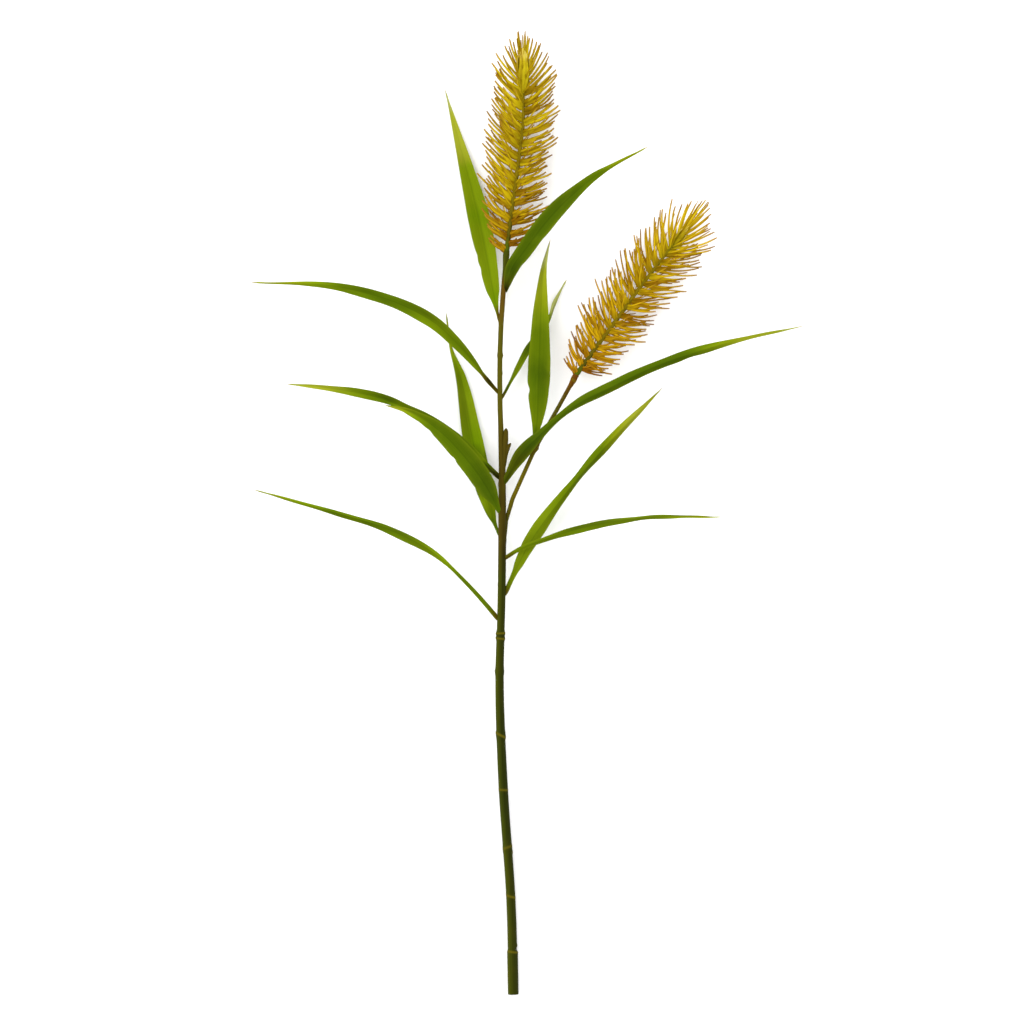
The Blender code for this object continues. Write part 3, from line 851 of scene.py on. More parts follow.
@dataclass
class Blade:
    """One leaf: a thin folded blade on a short stalk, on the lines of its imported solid."""

    number: int
    kind: LeafKind
    stops: Stops
    # painted light and shade on the two halves of its fold
    sides: Pairs = ((0.0, 0.0),)  # along, and how much lighter its right half is
    nicks: tuple[Nick, ...] = ()
    wave: float = 0.25  # how far its margins ripple
    ripples: float = 5.0
    ripple_lag: float = 0.9  # radians by which its right margin ripples ahead, and its left one behind
    stations: int = 150
    crowding: float = 0.9  # below 1, its rings stand closer towards its point
    samples: int = 15  # corners across one face
    thick: float = 0.44  # of the blade at its midrib
    margin: float = 0.6  # the share of its thickness that is gone at its margins
    sheet: float = 0.92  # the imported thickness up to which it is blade
    swollen: float = 0.6  # how much thicker it is packed where it is all stalk
    stalk_depth: float = 0.56  # half the thickness that its stalk has more than its blade
    fold_round: float = 0.03  # how rounded its fold is at the midrib
    groove: float = 0.10  # how deep its midrib lies
    groove_width: float = 0.35
    root_size: float = 0.75  # of its hidden root, as a share of its foot
    sunk: float = 2.8  # how far its root reaches into the stem
    overrun: float = 2.6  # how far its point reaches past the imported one
    least: float = 1.3  # its width just before its point
    blunt: float = 0.1  # the share of that width, and
    blunt_thick: float = 0.15  # the share of its thickness, that its very point has
    point: float = 30.0  # 1 over the share of its length that its point takes
    fade: float = 12.0  # 1 over the share of its length over which it thins towards its point

    @property
    def node(self) -> str:
        """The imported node's name."""
        return f"leaf_{self.number:02d}"

    def lines(self) -> tuple[Array, Array, Array, Array]:
        """The left edge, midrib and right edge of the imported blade, and its thickness at the midrib.

        The solid is a tube of six-cornered rings that ends in a point, the corner that is farthest from
        the stem. A ring's corners are sorted along its longest direction into left, middle and right
        pairs, which keep their side from ring to ring, with the fold's hollow side taken as up.

        Returns:
            Points of each line from root to tip, and a thickness for each.
        """
        solid = Solid(self.node)
        stems = np.concatenate([Solid("main_stem").points, Solid("side_branch").points])
        gaps = np.linalg.norm(solid.points[:, None] - stems[None], axis=-1).min(axis=1)
        root = solid.points[gaps.argmin()]
        tip = int(np.linalg.norm(solid.points - root, axis=1).argmax())
        rings = np.stack([ring for ring in solid.rings(tip) if len(ring) == 6][::-1])
        centres = rings.mean(axis=1)
        tangents = unit(np.gradient(centres, axis=0))[:, None]
        spokes = rings - centres[:, None]
        level = spokes - (spokes * tangents).sum(axis=-1, keepdims=True) * tangents
        across = np.linalg.svd(level)[2][:, 0]
        for k in range(1, len(across)):
            across[k] *= np.sign(across[k] @ across[k - 1])
        order = np.argsort((level * across[:, None]).sum(axis=-1), axis=1)
        pairs = np.take_along_axis(rings, order[..., None], axis=1).reshape(-1, 3, 2, 3)
        left, middle, right = (pairs[:, k].mean(axis=1) for k in range(3))
        hollow = ((left + right) / 2 - middle)[4:-2]
        if (np.cross(across[4:-2], tangents[4:-2, 0]) * hollow).sum() < 0:
            left, right = right, left
        thick = np.linalg.norm(pairs[:, 1, 0] - pairs[:, 1, 1], axis=-1)
        point = (solid.points[tip] - ORIGIN)[None]
        point = point + self.overrun * unit(point - middle[-1:])
        left, middle, right = (np.concatenate([line, point]) for line in (left, middle, right))
        return left, middle, right, np.append(thick, thick[-1])

    def rings(self) -> tuple[Array, Array, Array]:
        """The blade's rings: upper corners from left to right, then lower corners from right to left.

        A corner lies at midrib + across x half width x sideways + (fold x how far it is from the midrib
        + ripple - groove) x upwards, plus or minus half the thickness there. The thickness is an
        ellipse's on the stalk and falls from midrib to margin on the blade.

        Returns:
            The rings, and each corner's along and across.
        """
        left, middle, right, thick = self.lines()
        marks = np.append(0.0, np.cumsum(np.linalg.norm(np.diff(middle, axis=0), axis=1)))
        marks /= marks[-1]
        along = np.linspace(0.0, 1.0, self.stations) ** self.crowding
        left, middle, right = (smooth(along, marks, line) for line in (left, middle, right))
        tangents = unit(np.gradient(middle, axis=0))
        width = right - left
        width = width - (width * tangents).sum(axis=-1, keepdims=True) * tangents
        least = self.least * np.clip((1.0 - along) * self.point, self.blunt, 1.0)
        half = np.maximum(np.linalg.norm(width, axis=-1), least)[:, None] / 2
        sideways = unit(width + 1e-6)
        upwards = np.cross(sideways, tangents)
        fold = (((left + right) / 2 - middle) * upwards).sum(axis=-1)[:, None]
        thick = np.interp(along, marks, thick)[:, None]
        stalk = np.clip((thick - self.sheet) / self.swollen, 0.0, 1.0)
        across = np.sin(np.linspace(-np.pi / 2, np.pi / 2, self.samples))[None]
        reach = half * np.ones_like(across)
        for nick in self.nicks:
            bite = nick.depth * bell(along, nick.along, nick.length)[:, None]
            reach = reach - np.where(across * nick.side.value > 0, bite * across**2, 0.0)
        low, high = np.sqrt(self.fold_round), np.sqrt(1.0 + self.fold_round)
        bend = (np.sqrt(across**2 + self.fold_round) - low) / (high - low)
        taper = np.clip((1.0 - along[:, None]) * self.fade, self.blunt_thick, 1.0)
        deep = (self.thick / 2 + self.stalk_depth * stalk) * taper
        body = stalk * np.sqrt(1 - across**2 + 0.01) + (1 - stalk) * (1 - self.margin * across**2)
        phase = 2 * np.pi * self.ripples * along[:, None] + self.number
        lap = np.sin(phase + self.ripple_lag * np.sign(across))
        ripple = self.wave * across**2 * lap * (1 - stalk) * taper
        groove = self.groove * (1 - stalk) * bell(across * half, 0.0, self.groove_width) * taper
        rise = fold * bend + ripple - groove
        centre = middle[:, None] + sideways[:, None] * (across * reach)[..., None]
        top = centre + upwards[:, None] * (rise + deep * body)[..., None]
        bottom = centre + upwards[:, None] * (rise - deep * body)[..., None]
        rings = np.concatenate([top, bottom[:, ::-1]], axis=1)
        foot = rings[:1] - self.sunk * tangents[0]
        heart = foot.mean(axis=1, keepdims=True)
        foot = heart + (foot - heart) * self.root_size
        rings = np.concatenate([foot, rings])
        rings[..., 2] = np.maximum(rings[..., 2], 0.0)
        along = np.append(0.0, along)[:, None]
        across = np.concatenate([across, across[:, ::-1]], axis=1)
        return rings, along + 0 * across, across + 0 * along

    def build(self) -> Array:
        """Builds the blade.

        Returns:
            Points spread over it, for what must keep clear of it.
        """
        rings, along, across = self.rings()
        below = np.repeat([0.0, 1.0], self.samples)[None]
        surface = Surface()
        surface.tubes(rings, along=along, across=across, below=below)
        finish = BladeFinish(self.stops, self.sides, seed=float(self.number))
        material = finish.material(f"grass_{self.number:02d}")
        surface.piece(f"blade_{self.number:02d}", material, self.node, self.kind.value)
        return rings[::2, ::3].reshape(-1, 3)


@dataclass(frozen=True)
class Growth:
    """One set of bristles, an entry in each array for each bristle."""

    share: Array  # where it grows, as a share of the head's stalk
    spoke: Array  # its turn above level on its own side, in radians
    side: Array  # 1 for the right and -1 for the left
    angle: Array  # how far it leans from the stalk halfway along it, in radians
    curl: Array  # how much its lean falls from root to tip, in radians
    length: Array
    sway: Array  # how far it waves, in radians
    tone: Array  # from 0, dull, to 1, bright

    def picked(self, which: Array) -> "Growth":
        """The same set with only the picked bristles."""
        return Growth(*(getattr(self, part)[which] for part in self.__dataclass_fields__))


@dataclass(frozen=True)
class Cut:
    """The profile that bristles of one kind have along their length."""

    width: Pairs  # along, and half width
    flat: Pairs  # along, and half thickness as a share of half width
    outward: bool = False  # its flat side faces away from the stalk, not along it
    glow: float = 0.0  # how far its shade is moved towards the head's tip
    ripeness: float = 1.0  # the along that its end is shaded as


STRAND = Cut(
    ((0.0, 1.15), (0.35, 0.92), (0.6, 0.72), (0.9, 0.62), (1.0, 0.46)),
    ((0.0, 0.15), (0.4, 0.22), (0.65, 0.6), (1.0, 0.75)),
)
CREST_STRAND = replace(STRAND, glow=-0.1)
WEB = Cut(
    ((0.0, 2.6), (0.25, 3.1), (0.55, 2.2), (0.80, 1.2), (1.0, 0.3)), ((0.0, 0.12), (1.0, 0.06)), ripeness=0.5,
)
SPEAR_LEAF = Cut(
    ((0.0, 1.5), (0.35, 2.6), (0.7, 2.2), (0.92, 1.4), (1.0, 0.7)), ((0.0, 0.3), (1.0, 0.3)), True, 0.2, 0.6,
)


@dataclass(frozen=True)
class Bunch:
    """Bristles all round the stalk near its end that lean out less the higher they grow."""

    count: int
    shares: tuple[float, float]  # where on the stalk the lowest and the highest grow
    lean: tuple[float, float]  # degrees from the stalk of the lowest and of the highest
    reach: float  # of the lowest
    shorter: float = 0.26  # the share that the highest is shorter by
    crowding: float = 0.4  # how far they draw together on the left and the right


@dataclass(frozen=True)
class Bud:
    """The fused leaves at a head's tip, as a tube whose radius waves round it."""

    foot: float = 0.82  # the share of the stalk where it starts
    length: float = 33.0
    size: float = 1.0
    radius: Pairs = ((0.0, 1.2), (0.18, 3.2), (0.38, 4.6), (0.62, 4.0), (0.85, 2.8), (1.0, 0.8))
    rings: int = 44
    corners: int = 40
    folds: float = 3.5  # half as many as its leaves
    fold_depth: float = 0.16
    twist: float = 0.8  # radians that its leaves turn round it
    ripe: Pairs = ((0.0, 0.0), (0.4, 0.10), (1.0, 0.64))  # the along that it is shaded as

    def add(self, surface: Surface, foot: Array, forward: Array) -> None:
        """Adds the bud to a surface.

        It is a tube round a straight line. Its radius is the bud's own profile, times a wave of its turns
        whose sharp hollows are the folds between its leaves.

        Args:
            surface: The surface that it joins.
            foot: Where it starts.
            forward: The direction that it grows in.
        """
        along = np.linspace(0.0, 1.0, self.rings)
        centres = foot + forward * (along * self.length)[:, None]
        marks, sizes = np.array(self.radius).T
        girth = self.size * smooth(along, marks, sizes[:, None])
        turns = turns_of(self.corners)
        folds = np.abs(np.cos(self.folds * (turns[None] + self.twist * along[:, None])))
        rings = round_rings(centres, girth * (1.0 - self.fold_depth + self.fold_depth * folds), turns)
        ripe = np.interp(along, *zip(*self.ripe))[:, None]
        # Brighter on its right, and duller in the hollows between its leaves, which also carry the across
        # mark of a bristle's dark edge: the dulling in the hollows is painted shade.
        tone = 0.30 + 0.32 * np.cos(turns)[None] + 0.36 * folds
        surface.tubes(rings, up=1.0, along=ripe, across=1.0 - folds, tone=tone)


@dataclass(frozen=True)
class Unevenness:
    """How far chance moves a head's bristles from an even brush, each way, with turns in degrees."""

    row_shift: float = 0.14  # of a row along the stalk, in whorls
    tuft_shift: float = 0.04
    tuft_spoke: float = 8.0
    row_swing: float = 4.0  # of a row's lean
    tuft_swing: float = 1.4
    tuft_length: tuple[float, float] = (0.84, 1.04)
    tuft_sway: tuple[float, float] = (2.0, 8.0)
    row_tone: tuple[float, float] = (0.15, 0.85)
    strand_fan: float = 0.22  # in shares of the fan
    strand_spoke: float = 5.0
    strand_length: tuple[float, float] = (0.80, 1.05)
    strand_sway: float = 6.0
    kept_sway: float = 0.5  # the share of its tuft's sway, and
    kept_tone: float = 0.6  # of its tuft's tone, that a strand has too
    strand_tone: tuple[float, float] = (-0.2, 0.6)
    bunch_lean: float = 3.0
    bunch_length: tuple[float, float] = (0.85, 1.06)
    bunch_sway: float = 5.0
    bunch_tone: tuple[float, float] = (0.1, 0.9)


def either_way(draw: np.random.Generator, reach: float, count: int) -> Array:
    """Numbers that chance spreads evenly from minus the reach to the reach."""
    return draw.uniform(-reach, reach, count)


@dataclass
class Head:
    """A bottle-brush head: a thin stalk, and tufts of flat bristles that spread from it all round.

    Each tuft is a few strands that share one root, over a short broad web that they grow out of. The tufts
    stand in rows along the stalk on its left and its right, and the last ones crowd into a crest.
    """

    name: str
    node: str
    foot: float  # height at which the stem that carries it ends
    carrier: str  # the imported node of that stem
    route: Route  # of its stalk, past the stem
    seed: int
    finish: BristleFinish = field(default_factory=BristleFinish)
    whorls: int = 16
    tufted: float = 0.87  # the share of the stalk that tufts grow on
    first_row: float = 0.3  # its place, in whorls
    row_room: float = 0.7  # how much longer than its whorls the tufted stretch is, in whorls
    spokes: tuple[float, ...] = (-70.0, -38.0, -4.0, 30.0, 66.0)  # degrees above level of a side's tufts
    strands: tuple[int, ...] = (1, 2, 3, 2, 1)  # in the tuft of each spoke
    webbed: tuple[bool, ...] = (False, True, True, True, False)  # whether a web joins a tuft's roots
    fan: float = 4.4  # degrees that a tuft's outer strands lean from its middle
    fan_foot: float = 0.006  # the share of the stalk between their roots and its own
    fan_limits: tuple[float, float] = (0.1, 1.6)  # of a strand's lean, in radians
    web_reach: float = 0.47  # the share of a tuft's length that its web fills
    web_sway: float = 0.3  # the share of its sway that its web has
    girth: float = 1.0  # what a bristle's width is multiplied by
    dull_girth: float = 0.85  # what the dullest bristle's width is multiplied by too
    tone_girth: float = 0.30  # how much more the brightest's is
    least_thick: float = 0.03  # half a bristle's thickness where it is thinnest
    reach: float = 34.0
    lean: Pairs = (  # share of the stalk, and degrees from it
        (0.0, 70.0), (0.1, 64.0), (0.3, 61.0), (0.6, 60.0), (0.75, 54.0), (0.84, 45.0), (0.92, 28.0),
        (1.0, 12.0),
    )
    side_lean: float = 4.0  # degrees more on the right, and less on the left
    side_reach: float = 0.05  # share longer on the left, and shorter on the right
    # painted light on the left bristles and painted shade on the right ones
    painted_side_light: float = 0.15  # brighter on the left, and duller on the right
    standing_reach: float = 0.25  # the share that a tuft would be shorter if it stood straight up
    least_level: float = 0.55  # the least share of a tuft's spread that is taken to lie level
    length: Pairs = (
        (0.0, 0.45), (0.06, 0.66), (0.16, 0.85), (0.35, 0.95), (0.7, 1.0), (0.86, 1.0), (1.0, 0.85),
    )
    curl: float = 26.0
    full_curl: float = 40.0  # the lean, in degrees, from which a bristle curls in full
    least_curl: float = 0.2  # the share of it that one along the stalk has
    waving: tuple[float, float] = (6.5, 90.0)  # radians of its wave, along it and along the stalk
    lean_limits: tuple[float, float] = (6.0, 86.0)
    crest: Bunch = Bunch(38, (0.83, 0.985), (50.0, 4.0), 31.5)
    spear: Bunch = Bunch(6, (0.86, 0.91), (10.0, 4.0), 24.0)
    spear_curl: float = 42.0
    bud: Bud = Bud()
    uneven: Unevenness = Unevenness()
    stations: int = 10
    clearance: float = 1.2  # from a blade
    cut_backs: int = 7  # how often a bristle is cut back before it is left out
    cut_back: float = 0.8  # what its length is multiplied by each time
    lowest: float = 0.5  # how far above the table a bristle's line stays
    lowest_edge: float = 0.15  # and its edges
    soft: float = 4.0  # the height above that where it starts to bend up
    stalk_radius: Pairs = ((0.0, 1.9), (0.1, 1.8), (0.5, 1.5), (0.85, 1.1), (1.0, 0.5))
    stalk_rings: int = 160
    stalk_corners: int = 20
    stalk_swell: float = 0.10  # how far it swells at each whorl, as a share of its radius
    stalk_root: float = -0.01  # the share of its length at which it starts
    tip_shade: float = 0.86  # the up that a bristle at its end is shaded as
    stalk_finish: StalkFinish = StalkFinish(shades("0 meadow, 8 olive, 30 80 honey, 100 lime"), fibre=0.25)

    def __post_init__(self) -> None:
        """Finds the stalk's line from the top of the stem that carries it."""
        start, _ = Solid(self.carrier).sections(np.array([self.foot]), 0)
        self.line = np.concatenate([start, np.array(self.route)])
        lengths = np.linalg.norm(np.diff(self.line, axis=0), axis=1)
        self.marks = np.append(0.0, np.cumsum(lengths)) / lengths.sum()

    def axis(self, shares: Array) -> tuple[Array, Array, Array]:
        """The head's stalk as a smooth line.

        Args:
            shares: Shares of its length.

        Returns:
            Its points there, and its directions forward and to the right.
        """
        centres = smooth(shares, self.marks, self.line)
        near = 0.01  # the share over which its direction is taken
        onward, back = (smooth(shares + way * near, self.marks, self.line) for way in (1, -1))
        forward = unit(onward - back)
        return centres, forward, unit(np.cross(forward, UP))

    def curves(self, growth: Growth) -> Array:
        """The middle lines of bristles.

        A bristle sets out from the stalk in the plane of the stalk and its own spoke. Its angle from the
        stalk falls by the curl along its length, a wave sways it, and short straight steps at that angle
        add up to its line.

        Args:
            growth: The bristles.

        Returns:
            Points shaped (bristles, stations, 3).
        """
        centres, forward, right = self.axis(growth.share)
        up = np.cross(right, forward)
        spoke = right * (growth.side * np.cos(growth.spoke))[:, None] + up * np.sin(growth.spoke)[:, None]
        t = np.linspace(0.0, 1.0, self.stations - 1)[None]
        wave = growth.sway[:, None] * np.sin(self.waving[0] * t + self.waving[1] * growth.share[:, None])
        turn = growth.angle[:, None] + growth.curl[:, None] * (0.5 - t) + wave
        steps = np.sin(turn)[..., None] * spoke[:, None] + np.cos(turn)[..., None] * forward[:, None]
        steps = steps * (growth.length / (self.stations - 1))[:, None, None]
        path = np.concatenate([np.zeros((len(steps), 1, 3)), np.cumsum(steps, axis=1)], axis=1)
        return self.settle(centres[:, None] + path)

    def settle(self, points: Array) -> Array:
        """Bends points near the table up off it, so that what hangs lowest lies along it.

        A height under the soft one becomes soft x e to the power of (height / soft - 1).

        Args:
            points: Points of bristles.

        Returns:
            The points, with only z changed.
        """
        height = points[..., 2] - self.lowest
        lifted = self.soft * np.exp(np.minimum(height / self.soft, 1.0) - 1.0)
        points[..., 2] = self.lowest + np.where(height < self.soft, lifted, height)
        return points

    def near(self, curves: Array, blades: Array) -> Array:
        """The distance from each bristle, past its root, to the blades.

        Args:
            curves: The bristles' lines.
            blades: Points of the blades.

        Returns:
            A distance for each bristle, to the nearest point.
        """
        points = curves[:, 2:].reshape(-1, 3)
        low, high = points.min(axis=0) - 3.0, points.max(axis=0) + 3.0
        close = blades[((blades > low) & (blades < high)).all(axis=1)]
        if not len(close):
            return np.full(len(curves), np.inf)
        square = sum((points[:, k, None] - close[None, :, k]) ** 2 for k in range(3))
        return np.sqrt(square.min(axis=1)).reshape(len(curves), -1).min(axis=1)

    def tufts(self, draw: np.random.Generator) -> Growth:
        """Places the tufts by chance about even rows up both sides.

        Args:
            draw: The source of chance.

        Returns:
            The tufts, each as a single bristle down its middle.
        """
        uneven, rows, spokes = self.uneven, 2 * self.whorls, len(self.spokes)
        row = np.repeat(np.arange(rows), spokes)
        count = len(row)
        side = np.where(row % 2, Side.RIGHT.value, Side.LEFT.value).astype(float)
        shift = np.repeat(either_way(draw, uneven.row_shift, rows), spokes)
        shift = shift + either_way(draw, uneven.tuft_shift, count)
        share = (row // 2 + 0.5 * (row % 2) + shift + self.first_row) / (self.whorls + self.row_room)
        share = share * self.tufted
        spoke = np.radians(np.tile(self.spokes, rows) + either_way(draw, uneven.tuft_spoke, count))
        swing = np.repeat(either_way(draw, uneven.row_swing, rows), spokes)
        swing = swing + either_way(draw, uneven.tuft_swing, count)
        seen = np.interp(share, *zip(*self.lean)) + self.side_lean * side + swing
        seen = np.radians(np.clip(seen, *self.lean_limits))
        angle = np.arctan2(np.sin(seen) / np.maximum(np.cos(spoke), self.least_level), np.cos(seen))
        length = self.reach * np.interp(share, *zip(*self.length)) * (1.0 - self.side_reach * side)
        standing = 1.0 - self.standing_reach * np.sin(np.abs(spoke))
        length = length * draw.uniform(*uneven.tuft_length, count) * standing
        sway = np.radians(draw.uniform(*uneven.tuft_sway, count)) * draw.choice([-1.0, 1.0], count)
        # Each row's own tone, with painted light on the left and painted shade on the right.
        tone = np.repeat(draw.uniform(*uneven.row_tone, rows), spokes) - self.painted_side_light * side
        return Growth(share, spoke, side, angle, self.curl_of(angle), length, sway, tone)

    def curl_of(self, angle: Array) -> Array:
        """How much bristles of these angles curl: less where they lie close to the stalk."""
        return np.radians(self.curl) * np.clip(angle / np.radians(self.full_curl), self.least_curl, 1.0)

    def strand_growth(self, tufts: Growth, draw: np.random.Generator) -> Growth:
        """Fans each tuft out into its strands, with a little chance of their own.

        Args:
            tufts: The tufts.
            draw: The source of chance.

        Returns:
            The strands.
        """
        uneven = self.uneven
        each = np.tile(self.strands, 2 * self.whorls)
        many = tufts.picked(np.repeat(np.arange(len(each)), each))
        count = len(many.share)
        spread = np.concatenate([np.linspace(-1.0, 1.0, number) for number in self.strands])
        fan = np.tile(spread, 2 * self.whorls) + either_way(draw, uneven.strand_fan, count)
        angle = np.clip(many.angle + np.radians(self.fan) * fan, *self.fan_limits)
        return Growth(
            many.share - self.fan_foot * fan,
            many.spoke + np.radians(either_way(draw, uneven.strand_spoke, count)),
            many.side,
            angle,
            self.curl_of(angle),
            many.length * draw.uniform(*uneven.strand_length, count),
            many.sway * uneven.kept_sway + np.radians(either_way(draw, uneven.strand_sway, count)),
            np.clip(many.tone * uneven.kept_tone + draw.uniform(*uneven.strand_tone, count), 0.0, 1.0),
        )

    def bunch_growth(self, bunch: Bunch, draw: np.random.Generator) -> Growth:
        """The bristles of a bunch, each a golden angle round the stalk from the one below it.

        Args:
            bunch: The bunch.
            draw: The source of chance.

        Returns:
            The bristles.
        """
        uneven, count = self.uneven, bunch.count
        rise = np.linspace(0.0, 1.0, count)
        turn = np.arange(count) * GOLDEN_ANGLE
        lean = np.interp(rise, (0.0, 1.0), bunch.lean) + either_way(draw, uneven.bunch_lean, count)
        return Growth(
            bunch.shares[0] + (bunch.shares[1] - bunch.shares[0]) * rise,
            turn - bunch.crowding * np.sin(2.0 * turn),
            np.ones(count),
            np.radians(lean),
            self.curl_of(np.radians(lean)),
            bunch.reach * (1.0 - bunch.shorter * rise) * draw.uniform(*uneven.bunch_length, count),
            np.radians(either_way(draw, uneven.bunch_sway, count)),
            draw.uniform(*uneven.bunch_tone, count),
        )

    def ribbons(self, surface: Surface, growth: Growth, cut: Cut) -> int:
        """Adds a tapering ribbon of four corners on each bristle's line: left, upper, right and lower.

        Args:
            surface: The surface that they join.
            growth: The bristles.
            cut: Their profile.

        Returns:
            How many were added.
        """
        curves = self.curves(growth)
        along = np.linspace(0.0, 1.0, self.stations)[None]
        wider = self.dull_girth + self.tone_girth * growth.tone[:, None]
        wide = self.girth * np.interp(along, *zip(*cut.width)) * wider
        thick = np.interp(along, *zip(*cut.flat)) * wide + self.least_thick
        tangents = unit(np.gradient(curves, axis=1))
        _, forward, _ = self.axis(growth.share)
        round_about = unit(np.cross(curves[:, -1] - curves[:, 0], forward))[:, None]
        sideways = unit(np.cross(tangents, round_about))
        normal = np.cross(sideways, tangents)
        if cut.outward:
            sideways, normal = normal, sideways
        sideways, normal = sideways * wide[..., None], normal * thick[..., None]
        rings = np.stack([curves - sideways, curves + normal, curves + sideways, curves - normal], axis=2)
        rings[..., 2] = np.maximum(rings[..., 2], self.lowest_edge)
        up = growth.share[:, None, None] * self.tip_shade + cut.glow
        ripe = along[..., None] * cut.ripeness
        across = np.array([-1.0, 0.0, 1.0, 0.0])
        surface.tubes(rings, up=up, along=ripe, across=across, tone=growth.tone[:, None, None])
        return len(curves)

    def clear(self, growth: Growth, blades: Array) -> Growth:
        """Cuts bristles back until none comes too near a blade, and leaves out one that still does.

        Args:
            growth: The bristles.
            blades: Points of the blades.

        Returns:
            The bristles that are clear.
        """
        for _ in range(self.cut_backs):
            blocked = self.near(self.curves(growth), blades) < self.clearance
            growth = replace(growth, length=np.where(blocked, growth.length * self.cut_back, growth.length))
        return growth.picked(~blocked)

    def build_bristles(self, surface: Surface, blades: Array) -> int:
        """Adds every bristle, web, crest strand and spear leaf to a surface.

        Args:
            surface: The surface.
            blades: Points of the blades that they keep clear of.

        Returns:
            How many were added.
        """
        draw = np.random.default_rng(self.seed)
        tufts = self.tufts(draw)
        strands = self.clear(self.strand_growth(tufts, draw), blades)
        webs = tufts.picked(np.tile(self.webbed, 2 * self.whorls))
        webs = replace(webs, length=webs.length * self.web_reach, sway=webs.sway * self.web_sway)
        webs = self.clear(webs, blades)
        crest, spear = self.bunch_growth(self.crest, draw), self.bunch_growth(self.spear, draw)
        spear = replace(spear, curl=np.full(self.spear.count, np.radians(self.spear_curl)))
        foot, forward, _ = self.axis(np.array([self.bud.foot]))
        self.bud.add(surface, foot, forward)
        kinds = ((strands, STRAND), (webs, WEB), (crest, CREST_STRAND), (spear, SPEAR_LEAF))
        return sum(self.ribbons(surface, growth, cut) for growth, cut in kinds)

    def build(self, blades: Array) -> None:
        """Builds the head: its stalk, its bristles and the webs at their roots.

        Args:
            blades: Points of the blades that the bristles keep clear of.
        """
        shares = np.linspace(self.stalk_root, 1.0, self.stalk_rings)
        centres, _, _ = self.axis(shares)
        whorl = shares * 2 * np.pi * self.whorls
        radii = np.interp(shares, *zip(*self.stalk_radius)) * (1 + self.stalk_swell * np.sin(whorl))
        turns = turns_of(self.stalk_corners)
        rings = round_rings(centres, radii[:, None], turns)
        # Painted shade down the stalk's right side, with darker spots at its knots, sent through the joint
        # mark.
        knots = np.clip(np.sin(whorl + 1.0), 0.0, 1.0)[:, None] ** 2
        shaded = np.clip(np.cos(turns) + 0.1, 0.0, 1.0) * (0.35 + 0.55 * knots)
        stalk = Surface()
        stalk.tubes(rings, rise=shares[:, None], joint=-shaded, side=np.cos(turns)[None])
        name = f"{self.name}_stalk"
        stalk.piece(name, self.stalk_finish.material(name), self.node, self.node)
        bristles = Surface()
        count = self.build_bristles(bristles, blades)
        name = f"{self.name}_bristles"
        bristles.piece(name, self.finish.material(name), self.node, self.node)
        log.info("%s: %d bristles and webs", self.name, count)


# ---------------------------------------------------------------- table, light and camera


@dataclass
class Studio:
    """The pale table, the soft light and the camera that looks down on the shoot."""

    table_half: float = 4.0  # metres from the middle to the edge
    view_width: float = 746.7  # millimetres seen across at the height of the stems
    view_middle: Point = (5.1, 352.9, 15.0)
    lens: float = 180.0
    sensor: float = 36.0
    sky: float = 1.55
    key_power: float = 26.0
    key_place: Point = (-1.3, 1.1, 2.4)
    key_size: float = 1.9

    def lay_table(self) -> None:
        """Lays the table's flat top at z = 0."""
        h = self.table_half
        mesh = bpy.data.meshes.new("table")
        mesh.from_pydata([(-h, -h, 0), (h, -h, 0), (h, h, 0), (-h, h, 0)], [], [(0, 1, 2, 3)])
        mesh.materials.append(TableFinish().material("table_top"))
        table = bpy.data.objects.new("table", mesh)
        bpy.context.scene.collection.objects.link(table)

    def light(self) -> None:
        """Hangs one large soft lamp to the upper left, in an even pale room."""
        world = bpy.data.worlds.new("room")
        bpy.context.scene.world = world
        world.use_nodes = True
        sky = world.node_tree.nodes["Background"]
        sky.inputs["Color"].default_value = (1.0, 1.0, 1.0, 1.0)
        sky.inputs["Strength"].default_value = self.sky
        lamp = bpy.data.lights.new("soft_lamp", "AREA")
        lamp.energy = self.key_power
        lamp.shape = "DISK"
        lamp.size = self.key_size
        hung = bpy.data.objects.new("soft_lamp", lamp)
        hung.location = self.key_place
        hung.rotation_euler = (-Vector(self.key_place)).to_track_quat("-Z", "Y").to_euler()
        bpy.context.scene.collection.objects.link(hung)

    def aim_camera(self) -> None:
        """Hangs the camera straight above the shoot, with the shoot's tip at the top of its view."""
        camera = bpy.data.cameras.new("camera")
        camera.lens = self.lens
        camera.sensor_width = self.sensor
        camera.clip_end = 100.0
        above = self.view_width * self.lens / self.sensor
        held = bpy.data.objects.new("camera", camera)
        held.location = (np.array(self.view_middle) + ORIGIN + (0.0, 0.0, above)) * MM
        bpy.context.scene.collection.objects.link(held)
        bpy.context.scene.camera = held
        bpy.context.scene.view_settings.view_transform = "Standard"


